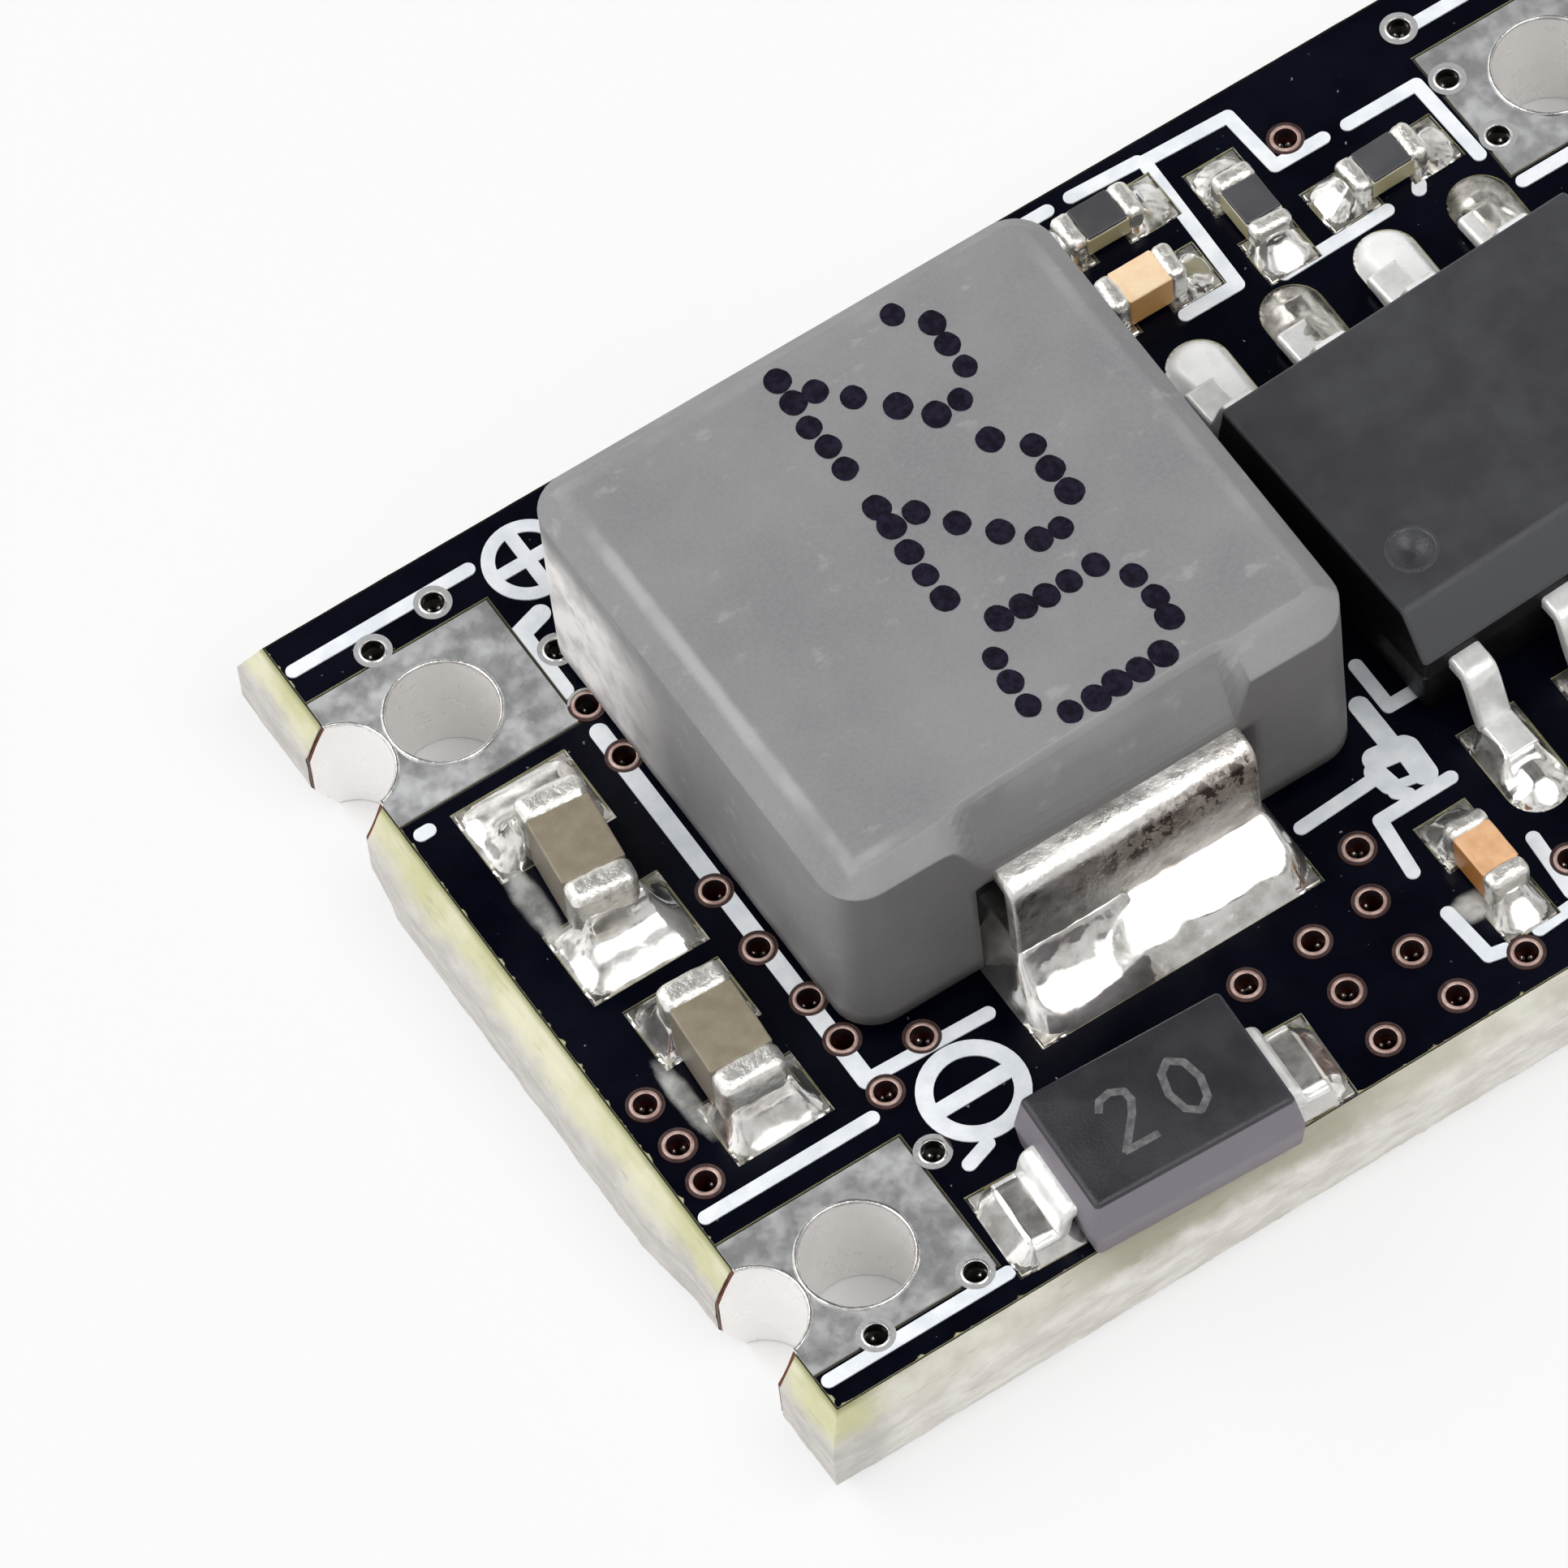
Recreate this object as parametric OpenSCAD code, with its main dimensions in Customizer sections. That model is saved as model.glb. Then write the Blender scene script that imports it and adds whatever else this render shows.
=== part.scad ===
// Step-down converter module: populated circuit board with four corner terminals.
// Plan positions are given from the near left corner of the masked face,
// x along the board and y across it. The model is centred on the board, with z = 0
// at the underside.

/* [Board] */
// Length of the masked face
board_x = 17.2; // [17.2:0.1:20]
// Width of the masked face
board_y = 11.7; // [11.7:0.1:14]
// Thickness of the board with its copper
board_t = 1.6; // [1.4:0.1:2]
// How far the snapped web stands out past the masked face
web_out = 0.25; // [0.1:0.05:0.3]
// Depth of the scored groove in each face
score_depth = 0.5; // [0.3:0.05:0.55]
// Thickness of the copper foil
foil_t = 0.04; // [0.035:0.005:0.07]
// Thickness of the solder mask
mask_t = 0.025; // [0.02:0.005:0.03]
// Thickness of the screen print
print_t = 0.02; // [0.01:0.005:0.03]
// Clearance between a land and the mask around it
mask_gap = 0.04; // [0.02:0.01:0.08]

/* [Terminals] */
// Bore of each wire hole
wire_hole_d = 1.3; // [1:0.05:1.4]
// Bore of each half hole at the board's ends
half_hole_d = 1.2; // [1:0.05:1.3]
// Wall of the plating in the holes
plating_t = 0.05; // [0.03:0.01:0.08]
// Wire hole's centre from the end of the masked face
wire_hole_in = 1.18; // [1.1:0.02:1.3]
// Half hole's centre beyond the end of the masked face
half_hole_out = 0.14; // [0.1:0.02:0.2]
// Near row of holes from the near edge
near_row_y = 1.44; // [1.4:0.02:1.6]
// Far row of holes from the near edge
far_row_y = 9.84; // [9.6:0.02:10]
// Length of each corner pad
pad_x = 2.35; // [2.1:0.05:2.4]
// Width of each corner pad
pad_y = 1.92; // [1.7:0.02:1.96]

/* [Vias] */
// Bore of each via
via_d = 0.3; // [0.2:0.05:0.35]
// Ring around each via
via_ring_d = 0.44; // [0.42:0.01:0.6]

/* [Inductor] */
// Length of the moulded block
core_x = 6.65; // [6.4:0.05:6.8]
// Width of the moulded block
core_y = 6.5; // [6.4:0.05:6.6]
// Top of the block above the board
core_top = 3; // [2.8:0.1:3.5]
// Gap between the block and the solder plane
core_lift = 0.06; // [0.03:0.01:0.1]
// Round on the upright corners
core_corner_r = 0.5; // [0.3:0.1:0.8]
// Round on the top edges
core_edge_r = 0.35; // [0.2:0.05:0.5]
// Width of each terminal strap
strap_w = 3.2; // [2.8:0.1:3.2]
// Thickness of each terminal strap
strap_t = 0.2; // [0.15:0.05:0.3]
// How far a strap's face stands out of the block
strap_out = 0.4; // [0.3:0.05:0.5]
// Height of the strap's upper bend above the board
strap_top = 1.9; // [1.7:0.1:2.2]
// How far each strap sits to one side of the block's centre line
strap_shift = 0.13; // [0:0.01:0.2]
// Length of the strap's foot under the block
strap_foot = 1.6; // [1.2:0.1:2]
// Depth of the recess behind each strap
recess_depth = 0.45; // [0.3:0.05:0.6]
// Side clearance between a strap and its recess
recess_side = 0.14; // [0.1:0.02:0.3]
// Outer diameter of the winding
coil_d = 4.7; // [4:0.1:5]
// Hole through the winding
coil_hole_d = 2.3; // [2:0.1:2.6]
// Height of the winding
coil_h = 1.3; // [1:0.1:1.4]

/* [Regulator] */
// Body length
chip_x = 4.9; // [4.8:0.05:5]
// Body width
chip_y = 3.9; // [3.8:0.05:4]
// Top of the body above the board
chip_top = 1.58; // [1.45:0.01:1.7]
// Stand-off under the body
chip_lift = 0.1; // [0.08:0.01:0.2]
// How far each side leans in from the parting line to the top
chip_draft = 0.14; // [0.05:0.01:0.2]
// Width of the bevel along the first pin's edge
chip_bevel_y = 0.42; // [0.3:0.02:0.5]
// Height of the bevel along the first pin's edge
chip_bevel_z = 0.5; // [0.3:0.02:0.55]
// Span over the lead tips
lead_span = 6; // [5.8:0.05:6.2]
// Lead pitch
lead_pitch = 1.27; // [1.27:0.01:1.27]
// Lead width
lead_w = 0.42; // [0.36:0.02:0.48]
// Lead thickness
lead_t = 0.2; // [0.17:0.01:0.25]
// Lead's shoulder beyond the body
lead_shoulder = 0.32; // [0.25:0.01:0.4]
// Length of the lead's foot
lead_foot = 0.6; // [0.5:0.05:0.7]
// Diameter of the first pin's dimple
dimple_d = 0.6; // [0.4:0.05:0.8]
// Depth of the first pin's dimple
dimple_depth = 0.05; // [0.03:0.01:0.08]
// First pin's dimple from the body's left end
dimple_x = 0.66; // [0.5:0.02:0.9]
// First pin's dimple from the body's near side
dimple_y = 1.08; // [0.9:0.02:1.3]

/* [Diode] */
// Body length
diode_x = 2.66; // [2.5:0.02:2.8]
// Body width
diode_y = 1.75; // [1.6:0.05:1.9]
// Top of the body above the board
diode_top = 1.02; // [0.95:0.01:1.1]
// Span over the lead tips
diode_span = 3.75; // [3.5:0.05:3.9]
// Lead width
diode_lead_w = 0.96; // [0.8:0.02:1.1]
// Lead thickness
diode_lead_t = 0.18; // [0.15:0.01:0.22]

/* [Chip parts] */
// Capacitor length
cap_x = 1.6; // [1.5:0.05:1.7]
// Capacitor width
cap_y = 0.8; // [0.7:0.05:0.9]
// Capacitor height
cap_z = 0.82; // [0.7:0.02:0.9]
// Length of a capacitor's tinned end
cap_end = 0.38; // [0.25:0.01:0.45]
// Small capacitor and resistor length
small_x = 1; // [0.95:0.01:1.05]
// Small capacitor and resistor width
small_y = 0.5; // [0.45:0.01:0.55]
// Small capacitor height
small_cap_z = 0.5; // [0.45:0.01:0.55]
// Resistor height
resistor_z = 0.35; // [0.3:0.01:0.4]
// Length of a small part's tinned end
small_end = 0.25; // [0.15:0.01:0.3]
// Skin of tin over a part's ends
end_skin = 0.02; // [0.01:0.005:0.03]
// Depth of a resistor's dark coat
coat_t = 0.03; // [0.02:0.005:0.05]

/* [Solder] */
// Thickness of the solder under a part
joint_t = 0.03; // [0.02:0.005:0.05]
// Height of the fillet on a capacitor's end
cap_fillet_z = 0.5; // [0.2:0.05:0.6]
// Height of the fillet on a small part's end
small_fillet_z = 0.28; // [0.1:0.02:0.3]
// Height of the fillet on an inductor strap
strap_fillet_z = 0.5; // [0.3:0.05:0.8]
// Bare rim of a lead's land outside its solder
fillet_margin = 0.05; // [0.02:0.01:0.1]

/* [Hidden] */
$fn = 48;

// Overshoot that makes a cut pass clean through
over = 1;

// Corner terminals: [end, row], end 0 at the left and 1 at the right, row 0 near and 1 far
row_y = [near_row_y, far_row_y];

// Part places: [x, y, turn], with each part's long axis along x at turn 0
core_place = [5.96, 6.86, 0];
chip_place = [12.35, 5.5, 2.5];
diode_place = [4.63, 0.68, -2.5];
output_cap_1_place = [1.3, 7.17, 84];
output_cap_2_place = [1.32, 4.26, 87];
input_cap_1_place = [16, 7.15, 90];
input_cap_2_place = [16, 4.3, 90];
boost_cap_place = [10.5, 9.87, 0];
filter_cap_place = [9.45, 1.5, 91];
resistor_1_place = [10.62, 10.93, 0];
resistor_2_place = [12.15, 10.1, 90];
resistor_3_place = [13.66, 9.72, 2];
chip_land_place = [12.44, 5.44, 0];
wide_cap_land_place = [1.28, 7.18, 90];
cap_land_places = [[1.36, 4.28, 90], input_cap_1_place, input_cap_2_place];
small_places = [
    boost_cap_place, filter_cap_place, resistor_1_place, resistor_2_place, resistor_3_place
];

// Via places by group
inductor_vias = [
    [2.65, 9.8], [2.54, 9], [2.52, 8.2], [2.4, 6.17], [2.4, 5.28], [2.5, 4.42], [2.52, 3.78],
    [3.25, 3.31], [2.55, 2.96], [2.56, 2.04]
];
output_vias = [
    [1.85, 11.12], [0.97, 10.97], [0.32, 4.33], [0.34, 3.7], [0.34, 3.15], [2.12, 0.53], [0.82, 0.5]
];
ground_vias = [
    [6.5, 1.82], [7.4, 1.85], [8.2, 1.91], [8.46, 2.55], [7.35, 1.12], [8.21, 1.13],
    [7.35, 0.38], [8.3, 0.38], [9.22, 0.4], [10.27, 1.1]
];
input_vias = [[13.04, 10.75], [14.93, 11.25], [14.99, 10.36], [15.02, 9.39]];
vias = concat(inductor_vias, output_vias, ground_vias, input_vias);

// Places of the regulator's leads along its body, four to a side
leads_per_side = 4;
first_lead = -lead_pitch * (leads_per_side - 1) / 2;
lead_offsets = [for (i = [0 : leads_per_side - 1]) first_lead + i * lead_pitch];

// Land sizes and pitches
wide_cap_land = [1, 1.42];
wide_cap_pitch = 1.9;
cap_land = [0.82, 1.16];
cap_land_pitch = 1.46;
small_land = [0.62, 0.62];
small_land_pitch = 1.12;
core_land = [3.62, 2.4];
core_land_out = 1.15;
chip_land_w = 0.7;
chip_land_out = 3.66;
chip_land_in = 2.35;
diode_land = [1.05, 1.12];
diode_land_pitch = 3.15;
paddle_land = [3.3, 2.4];

// Strokes of the screen print: [from, to, width]
line_w = 0.17;
bold_w = 0.24;
block_line_w = 0.22;
solid_w = 0.3;
fine_w = 0.12;
pad_line_inset = 0.1;
pad_line_end = 2.4;
legend_strokes = [
    [[pad_line_inset, 11.26], [pad_line_end, 11.26], line_w],
    [[pad_line_inset, 2.77], [2.25, 2.77], line_w],
    [[pad_line_inset, 0.32], [pad_line_end, 0.32], line_w],
    [[0.14, 8.64], [0.24, 8.64], line_w],
    [[2.42, 10.2], [2.42, 9.3], bold_w],
    [[2.42, 10.2], [2.75, 10.3], bold_w],
    [[2.46, 8.62], [2.46, 3.2], block_line_w],
    [[2.46, 3.2], [4, 3.14], line_w],
    [[8.1, 3.12], [9.15, 3.18], line_w],
    [[9.5, 4.05], [9.5, 3.45], bold_w],
    [[9.26, 3.38], [9.6, 3.33], solid_w],
    [[9.62, 3.3], [9.6, 2.92], solid_w],
    [[9.16, 3.25], [9.2, 3.02], bold_w],
    [[9.2, 2.98], [9.6, 2.9], fine_w],
    [[9.2, 2.9], [9.3, 2.8], line_w],
    [[8.86, 2.7], [9.8, 2.71], line_w],
    [[8.86, 2.7], [8.78, 1.95], line_w],
    [[8.8, 1.3], [8.86, 0.6], line_w],
    [[8.86, 0.6], [9.05, 0.56], line_w],
    [[9.5, 0.56], [10.08, 0.6], line_w],
    [[10.1, 1.55], [10.05, 0.75], line_w],
    [[9.94, 11.5], [10.3, 11.5], line_w],
    [[10.62, 11.5], [11.5, 11.46], line_w],
    [[11.55, 11.42], [12.68, 11.38], line_w],
    [[12.68, 11.38], [12.74, 10.51], line_w],
    [[12.74, 10.51], [13.39, 10.51], line_w],
    [[11.56, 11.35], [11.5, 9.43], line_w],
    [[11.5, 9.43], [10.8, 9.43], line_w],
    [[12.01, 9.24], [13.43, 9.28], line_w],
    [[13.72, 10.5], [14.66, 10.5], line_w],
    [[14.66, 10.5], [14.7, 9.3], line_w],
    [[13.88, 9.3], [13.92, 9.36], line_w],
    [[9.76, 4.5], [9.76, 3.86], line_w],
    [[9.76, 3.86], [10.1, 3.86], line_w],
    [[2.8, 1.68], [3.1, 1.78], line_w]
];
// The right hand pads have the same lines mirrored
legend_right_strokes = [
    [[pad_line_inset, 11.2], [2.3, 11.2], line_w],
    [[pad_line_inset, 8.72], [2.3, 8.72], line_w],
    [[pad_line_inset, 2.64], [2.3, 2.64], line_w],
    [[pad_line_inset, 0.3], [2.3, 0.3], line_w]
];
// Polarity marks: [x, y, ring radius]
plus_mark = [3.02, 10.98, 0.45];
minus_mark = [3.34, 2.42, 0.54];
plus_mark_w = 0.16;
minus_mark_w = 0.2;

laminate_bottom = foil_t;
laminate_top = board_t - foil_t;
solder_top = board_t + joint_t;

// ---- placing ----

// Moves a child from board coordinates to the model's frame
module on_board(x, y, z = 0) {
    translate([x - board_x / 2, y - board_y / 2, z]) children();
}

// Moves and turns a child to a part's place, at height z
module at_place(place, z = 0) {
    on_board(place[0], place[1], z) rotate([0, 0, place[2]]) children();
}

// Moves a child to one corner, drawn for the left end and mirrored for the right
module at_corner(end, row) {
    mirror([end, 0, 0]) on_board(0, row_y[row]) children();
}

// A block centred in x and y with its underside at z
module slab(size, z = 0) {
    translate([-size[0] / 2, -size[1] / 2, z]) cube(size);
}

// ---- board ----

// Outline of the scored and snapped edge across a span of the masked face
module edge_profile(span) {
    half = span / 2;
    web = half + web_out;
    polygon([
        [-half, 0], [half, 0], [web, score_depth], [web, board_t - score_depth],
        [half, board_t], [-half, board_t], [-web, board_t - score_depth], [-web, score_depth]
    ]);
}

// The board's outer form, from face to face
module board_form() {
    intersection() {
        rotate([90, 0, 0]) linear_extrude(height = board_y + 4 * over, center = true) edge_profile(board_x);
        rotate([90, 0, 90]) linear_extrude(height = board_x + 4 * over, center = true) edge_profile(board_y);
    }
}

// Cylinders along the four wire holes and four half holes, made larger by extra on the radius
module terminal_bores(extra) {
    for (end = [0, 1], row = [0, 1]) at_corner(end, row) {
        translate([wire_hole_in, 0, -over]) cylinder(h = board_t + 2 * over, d = wire_hole_d + 2 * extra);
        translate([-half_hole_out, 0, -over]) cylinder(h = board_t + 2 * over, d = half_hole_d + 2 * extra);
    }
}

module via_cuts(d) {
    for (spot = vias) on_board(spot[0], spot[1], -over) cylinder(h = board_t + 2 * over, d = d);
}

module laminate() {
    color([0.74, 0.73, 0.52]) difference() {
        intersection() {
            board_form();
            slab([board_x + 4 * over, board_y + 4 * over, laminate_top - laminate_bottom], laminate_bottom);
        }
        terminal_bores(plating_t);
        via_cuts(via_d + 2 * plating_t);
    }
}

// Corner pads, made larger all round by grow
module corner_pads(grow, z, t) {
    for (end = [0, 1], row = [0, 1]) at_corner(end, row)
        translate([0, -pad_y / 2 - grow, z]) cube([pad_x + grow, pad_y + 2 * grow, t]);
}

// One rounded-end land of the regulator, pointing out along y
module chip_land(grow, z, t) {
    width = chip_land_w + 2 * grow;
    reach = chip_land_out - chip_land_in - chip_land_w / 2;
    translate([-width / 2, chip_land_in - grow, z]) cube([width, reach + grow, t]);
    translate([0, chip_land_in + reach, z]) cylinder(h = t, d = width);
}

// A pair of lands for a two-ended part
module pair_lands(land, pitch, grow, z, t) {
    for (side = [-1, 1]) translate([side * pitch / 2, 0, z])
        slab([land[0] + 2 * grow, land[1] + 2 * grow, t]);
}

// Every land that carries a part
module lands(grow, z, t) {
    at_place(wide_cap_land_place) pair_lands(wide_cap_land, wide_cap_pitch, grow, z, t);
    for (place = cap_land_places) at_place(place) pair_lands(cap_land, cap_land_pitch, grow, z, t);
    for (place = small_places) at_place(place) pair_lands(small_land, small_land_pitch, grow, z, t);
    at_place(diode_place) pair_lands(diode_land, diode_land_pitch, grow, z, t);
    at_place(core_place) for (side = [-1, 1])
        translate([-side * strap_shift, side * (core_y / 2 + core_land_out - core_land[1] / 2), 0])
            slab([core_land[0] + 2 * grow, core_land[1] + 2 * grow, t], z);
    at_place(chip_land_place) {
        for (side = [0, 180], x = lead_offsets)
            rotate([0, 0, side]) translate([x, 0, 0]) chip_land(grow, z, t);
        slab([paddle_land[0] + 2 * grow, paddle_land[1] + 2 * grow, t], z);
    }
}

module component_lands() {
    color([0.8, 0.8, 0.8]) difference() {
        lands(0, laminate_top, foil_t);
        via_cuts(via_ring_d);
    }
}

module solder_mask_top() {
    color([0.05, 0.07, 0.13]) difference() {
        slab([board_x, board_y, mask_t], laminate_top);
        corner_pads(mask_gap, 0, board_t + over);
        lands(mask_gap, 0, board_t + over);
        via_cuts(via_ring_d);
    }
}

module solder_mask_bottom() {
    color([0.05, 0.07, 0.13]) difference() {
        slab([board_x, board_y, mask_t], laminate_bottom - mask_t);
        corner_pads(mask_gap, -over, board_t + over);
        via_cuts(via_ring_d);
    }
}

// A straight stroke with round ends
module stroke(from, to, w) {
    run = to - from;
    on_board(from[0], from[1]) {
        rotate([0, 0, atan2(run[1], run[0])]) translate([0, -w / 2, 0]) cube([norm(run), w, print_t]);
        cylinder(h = print_t, d = w);
        translate([run[0], run[1], 0]) cylinder(h = print_t, d = w);
    }
}

// A ring with bars inside it, one bar for each turn in bars
module polarity_mark(mark, w, bars) {
    on_board(mark[0], mark[1]) {
        difference() {
            cylinder(h = print_t, r = mark[2] + w / 2);
            translate([0, 0, -over]) cylinder(h = 2 * over, r = mark[2] - w / 2);
        }
        for (turn = bars) rotate([0, 0, turn]) slab([2 * mark[2], w, print_t]);
    }
}

module legend_top() {
    color([0.93, 0.94, 0.95]) translate([0, 0, laminate_top + mask_t]) difference() {
        union() {
            for (s = legend_strokes) stroke(s[0], s[1], s[2]);
            mirror([1, 0, 0]) for (s = legend_right_strokes) stroke(s[0], s[1], s[2]);
            polarity_mark(plus_mark, plus_mark_w, [0, 90]);
            polarity_mark(minus_mark, minus_mark_w, [0]);
        }
        via_cuts(via_ring_d);
        lands(mask_gap, -over, 2 * over);
        corner_pads(mask_gap, -over, 2 * over);
    }
}

module via_barrels() {
    color([0.42, 0.27, 0.2]) difference() {
        union() {
            for (spot = vias) on_board(spot[0], spot[1]) {
                cylinder(h = board_t, d = via_d + 2 * plating_t);
                for (z = [0, laminate_top]) translate([0, 0, z]) cylinder(h = foil_t, d = via_ring_d);
            }
        }
        via_cuts(via_d);
    }
}

// A corner terminal: both pads, the plated wire hole and the plated half hole
module corner_terminal(end, row) {
    color([0.72, 0.73, 0.75]) difference() {
        union() {
            difference() {
                at_corner(end, row) for (z = [0, laminate_top])
                    translate([0, -pad_y / 2, z]) cube([pad_x, pad_y, foil_t]);
                via_cuts(via_ring_d);
            }
            intersection() {
                board_form();
                at_corner(end, row) {
                    translate([wire_hole_in, 0, 0]) cylinder(h = board_t, d = wire_hole_d + 2 * plating_t);
                    translate([-half_hole_out, 0, 0]) cylinder(h = board_t, d = half_hole_d + 2 * plating_t);
                }
            }
        }
        terminal_bores(0);
    }
}

// ---- inductor ----

// A rectangle with true round corners, centred
module round_rect(x, y, r) {
    square([x - 2 * r, y], center = true);
    square([x, y - 2 * r], center = true);
    for (sx = [-1, 1], sy = [-1, 1]) translate([sx * (x / 2 - r), sy * (y / 2 - r)]) circle(r = r);
}

// A face profile with its two top corners rounded, standing on y = 0
module domed_rect(x, h, r) {
    translate([-x / 2, 0]) square([x, h - r]);
    translate([-x / 2 + r, 0]) square([x - 2 * r, h]);
    for (side = [-1, 1]) translate([side * (x / 2 - r), h - r]) circle(r = r);
}

core_bottom = joint_t + core_lift;
core_h = core_top - core_bottom;
coil_bottom = 0.75;
tongue_reach = 2.06;

// A strap in the block's frame, z from the board's face, with its face toward negative y
module strap() {
    face = -core_y / 2 - strap_out;
    foot_end = face + strap_foot;
    tongue_end = -tongue_reach;
    under = strap_top - strap_t;
    profile = [
        [foot_end, joint_t], [face, joint_t], [face, under], [face + strap_t, strap_top],
        [tongue_end, strap_top], [tongue_end, under], [face + strap_t, under],
        [face + strap_t, joint_t + strap_t], [foot_end, joint_t + strap_t]
    ];
    translate([strap_shift - strap_w / 2, 0, 0]) rotate([90, 0, 90])
        linear_extrude(height = strap_w) polygon(profile);
}

// The space in the block beside and behind a strap
module strap_recess() {
    width = strap_w + 2 * recess_side;
    translate([strap_shift - width / 2, -core_y / 2 - over, -over])
        cube([width, recess_depth + over, strap_top - strap_t + over]);
}

module coil_form() {
    translate([0, 0, coil_bottom]) difference() {
        cylinder(h = coil_h, d = coil_d);
        translate([0, 0, -over]) cylinder(h = coil_h + 2 * over, d = coil_hole_d);
    }
}

module inductor_core() {
    color([0.47, 0.47, 0.48]) at_place(core_place, board_t) difference() {
        intersection() {
            translate([0, 0, core_bottom]) linear_extrude(height = core_h)
                round_rect(core_x, core_y, core_corner_r);
            translate([0, 0, core_bottom]) rotate([90, 0, 0])
                linear_extrude(height = core_y + over, center = true) domed_rect(core_x, core_h, core_edge_r);
            translate([0, 0, core_bottom]) rotate([90, 0, 90])
                linear_extrude(height = core_x + over, center = true) domed_rect(core_y, core_h, core_edge_r);
        }
        coil_form();
        for (turn = [0, 180]) rotate([0, 0, turn]) {
            strap_recess();
            strap();
        }
    }
}

module inductor_coil() {
    color([0.72, 0.45, 0.25]) at_place(core_place, board_t) coil_form();
}

module inductor_terminal(turn) {
    color([0.78, 0.77, 0.74]) at_place(core_place, board_t) difference() {
        rotate([0, 0, turn]) strap();
        coil_form();
    }
}

// ---- regulator ----

lead_z = 0.76;
lead_root = 0.35;
chip_parting = lead_z + lead_t / 2;
foot_start = lead_span / 2 - lead_foot;
die_size = [1.9, 1.5, 0.3];
paddle_size = [3.2, 2.3, 0.2];
paddle_bottom = joint_t;

// Side view of the body across its width, leaning in above and below the parting line
module chip_profile(span, bevel_y, bevel_z) {
    half = span / 2;
    polygon([
        [-half + chip_draft, chip_lift], [half - chip_draft, chip_lift], [half, chip_parting],
        [half - chip_draft, chip_top], [-half + bevel_y, chip_top],
        [-half + chip_draft / 2, chip_top - bevel_z], [-half, chip_parting]
    ]);
}

// One gull-wing lead, pointing out along positive y
module lead() {
    body_side = chip_y / 2;
    root = body_side - lead_root;
    knee = body_side + lead_shoulder;
    translate([-lead_w / 2, 0, 0]) rotate([90, 0, 90]) linear_extrude(height = lead_w) polygon([
        [root, lead_z], [knee - lead_t, lead_z], [foot_start - lead_t / 2, joint_t], [lead_span / 2, joint_t],
        [lead_span / 2, joint_t + lead_t], [foot_start + lead_t / 2, joint_t + lead_t],
        [knee, lead_z + lead_t / 2], [knee - lead_t / 2, lead_z + lead_t], [root, lead_z + lead_t]
    ]);
}

module leads(turn) {
    for (x = lead_offsets) rotate([0, 0, turn]) translate([x, 0, 0]) lead();
}

module regulator_body() {
    color([0.17, 0.17, 0.18]) at_place(chip_place, board_t) difference() {
        intersection() {
            rotate([90, 0, 90]) linear_extrude(height = chip_x + over, center = true)
                chip_profile(chip_y, chip_bevel_y, chip_bevel_z);
            rotate([90, 0, 0]) linear_extrude(height = chip_y + over, center = true)
                chip_profile(chip_x, chip_draft, chip_draft);
        }
        leads(0);
        leads(180);
        slab(paddle_size, paddle_bottom);
        slab(die_size, paddle_bottom + paddle_size[2]);
        translate([dimple_x - chip_x / 2, dimple_y - chip_y / 2, chip_top - dimple_depth])
            cylinder(h = dimple_depth + over, d = dimple_d);
    }
}

module regulator_leads(turn) {
    color([0.8, 0.8, 0.8]) at_place(chip_place, board_t) leads(turn);
}

module regulator_paddle() {
    color([0.8, 0.8, 0.8]) at_place(chip_place, board_t) slab(paddle_size, paddle_bottom);
}

module regulator_die() {
    color([0.35, 0.36, 0.4]) at_place(chip_place, board_t) slab(die_size, paddle_bottom + paddle_size[2]);
}

// ---- diode ----

diode_lift = 0.06;
diode_draft = 0.08;
diode_parting = 0.45;
diode_step_in = 0.35;
diode_die_size = [0.8, 0.8, 0.2];
diode_die_bottom = joint_t + diode_lead_t;

module diode_profile(span) {
    half = span / 2;
    polygon([
        [-half + diode_draft, diode_lift], [half - diode_draft, diode_lift], [half, diode_parting],
        [half - diode_draft, diode_top], [-half + diode_draft, diode_top], [-half, diode_parting]
    ]);
}

// The left lead runs flat under the die
module left_lead_form() {
    translate([-diode_span / 2, -diode_lead_w / 2, joint_t])
        cube([diode_span / 2 + diode_die_size[0] / 2, diode_lead_w, diode_lead_t]);
}

// The right lead steps up over the die
module right_lead_form() {
    step_x = diode_x / 2 - diode_step_in;
    over_die = diode_die_bottom + diode_die_size[2];
    translate([0, diode_lead_w / 2, 0]) rotate([90, 0, 0]) linear_extrude(height = diode_lead_w) polygon([
        [diode_span / 2, joint_t], [diode_span / 2, joint_t + diode_lead_t],
        [step_x + diode_lead_t, joint_t + diode_lead_t], [step_x, over_die + diode_lead_t],
        [-diode_die_size[0] / 2, over_die + diode_lead_t], [-diode_die_size[0] / 2, over_die],
        [step_x - diode_lead_t, over_die], [step_x, joint_t]
    ]);
}

module diode_body() {
    color([0.16, 0.15, 0.17]) at_place(diode_place, board_t) difference() {
        intersection() {
            rotate([90, 0, 90]) linear_extrude(height = diode_x + over, center = true) diode_profile(diode_y);
            rotate([90, 0, 0]) linear_extrude(height = diode_y + over, center = true) diode_profile(diode_x);
        }
        left_lead_form();
        right_lead_form();
        slab(diode_die_size, diode_die_bottom);
    }
}

module diode_lead_left() {
    color([0.8, 0.8, 0.8]) at_place(diode_place, board_t) left_lead_form();
}

module diode_lead_right() {
    color([0.8, 0.8, 0.8]) at_place(diode_place, board_t) right_lead_form();
}

module diode_die() {
    color([0.35, 0.36, 0.4]) at_place(diode_place, board_t) slab(diode_die_size, diode_die_bottom);
}

// ---- chip parts ----

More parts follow.
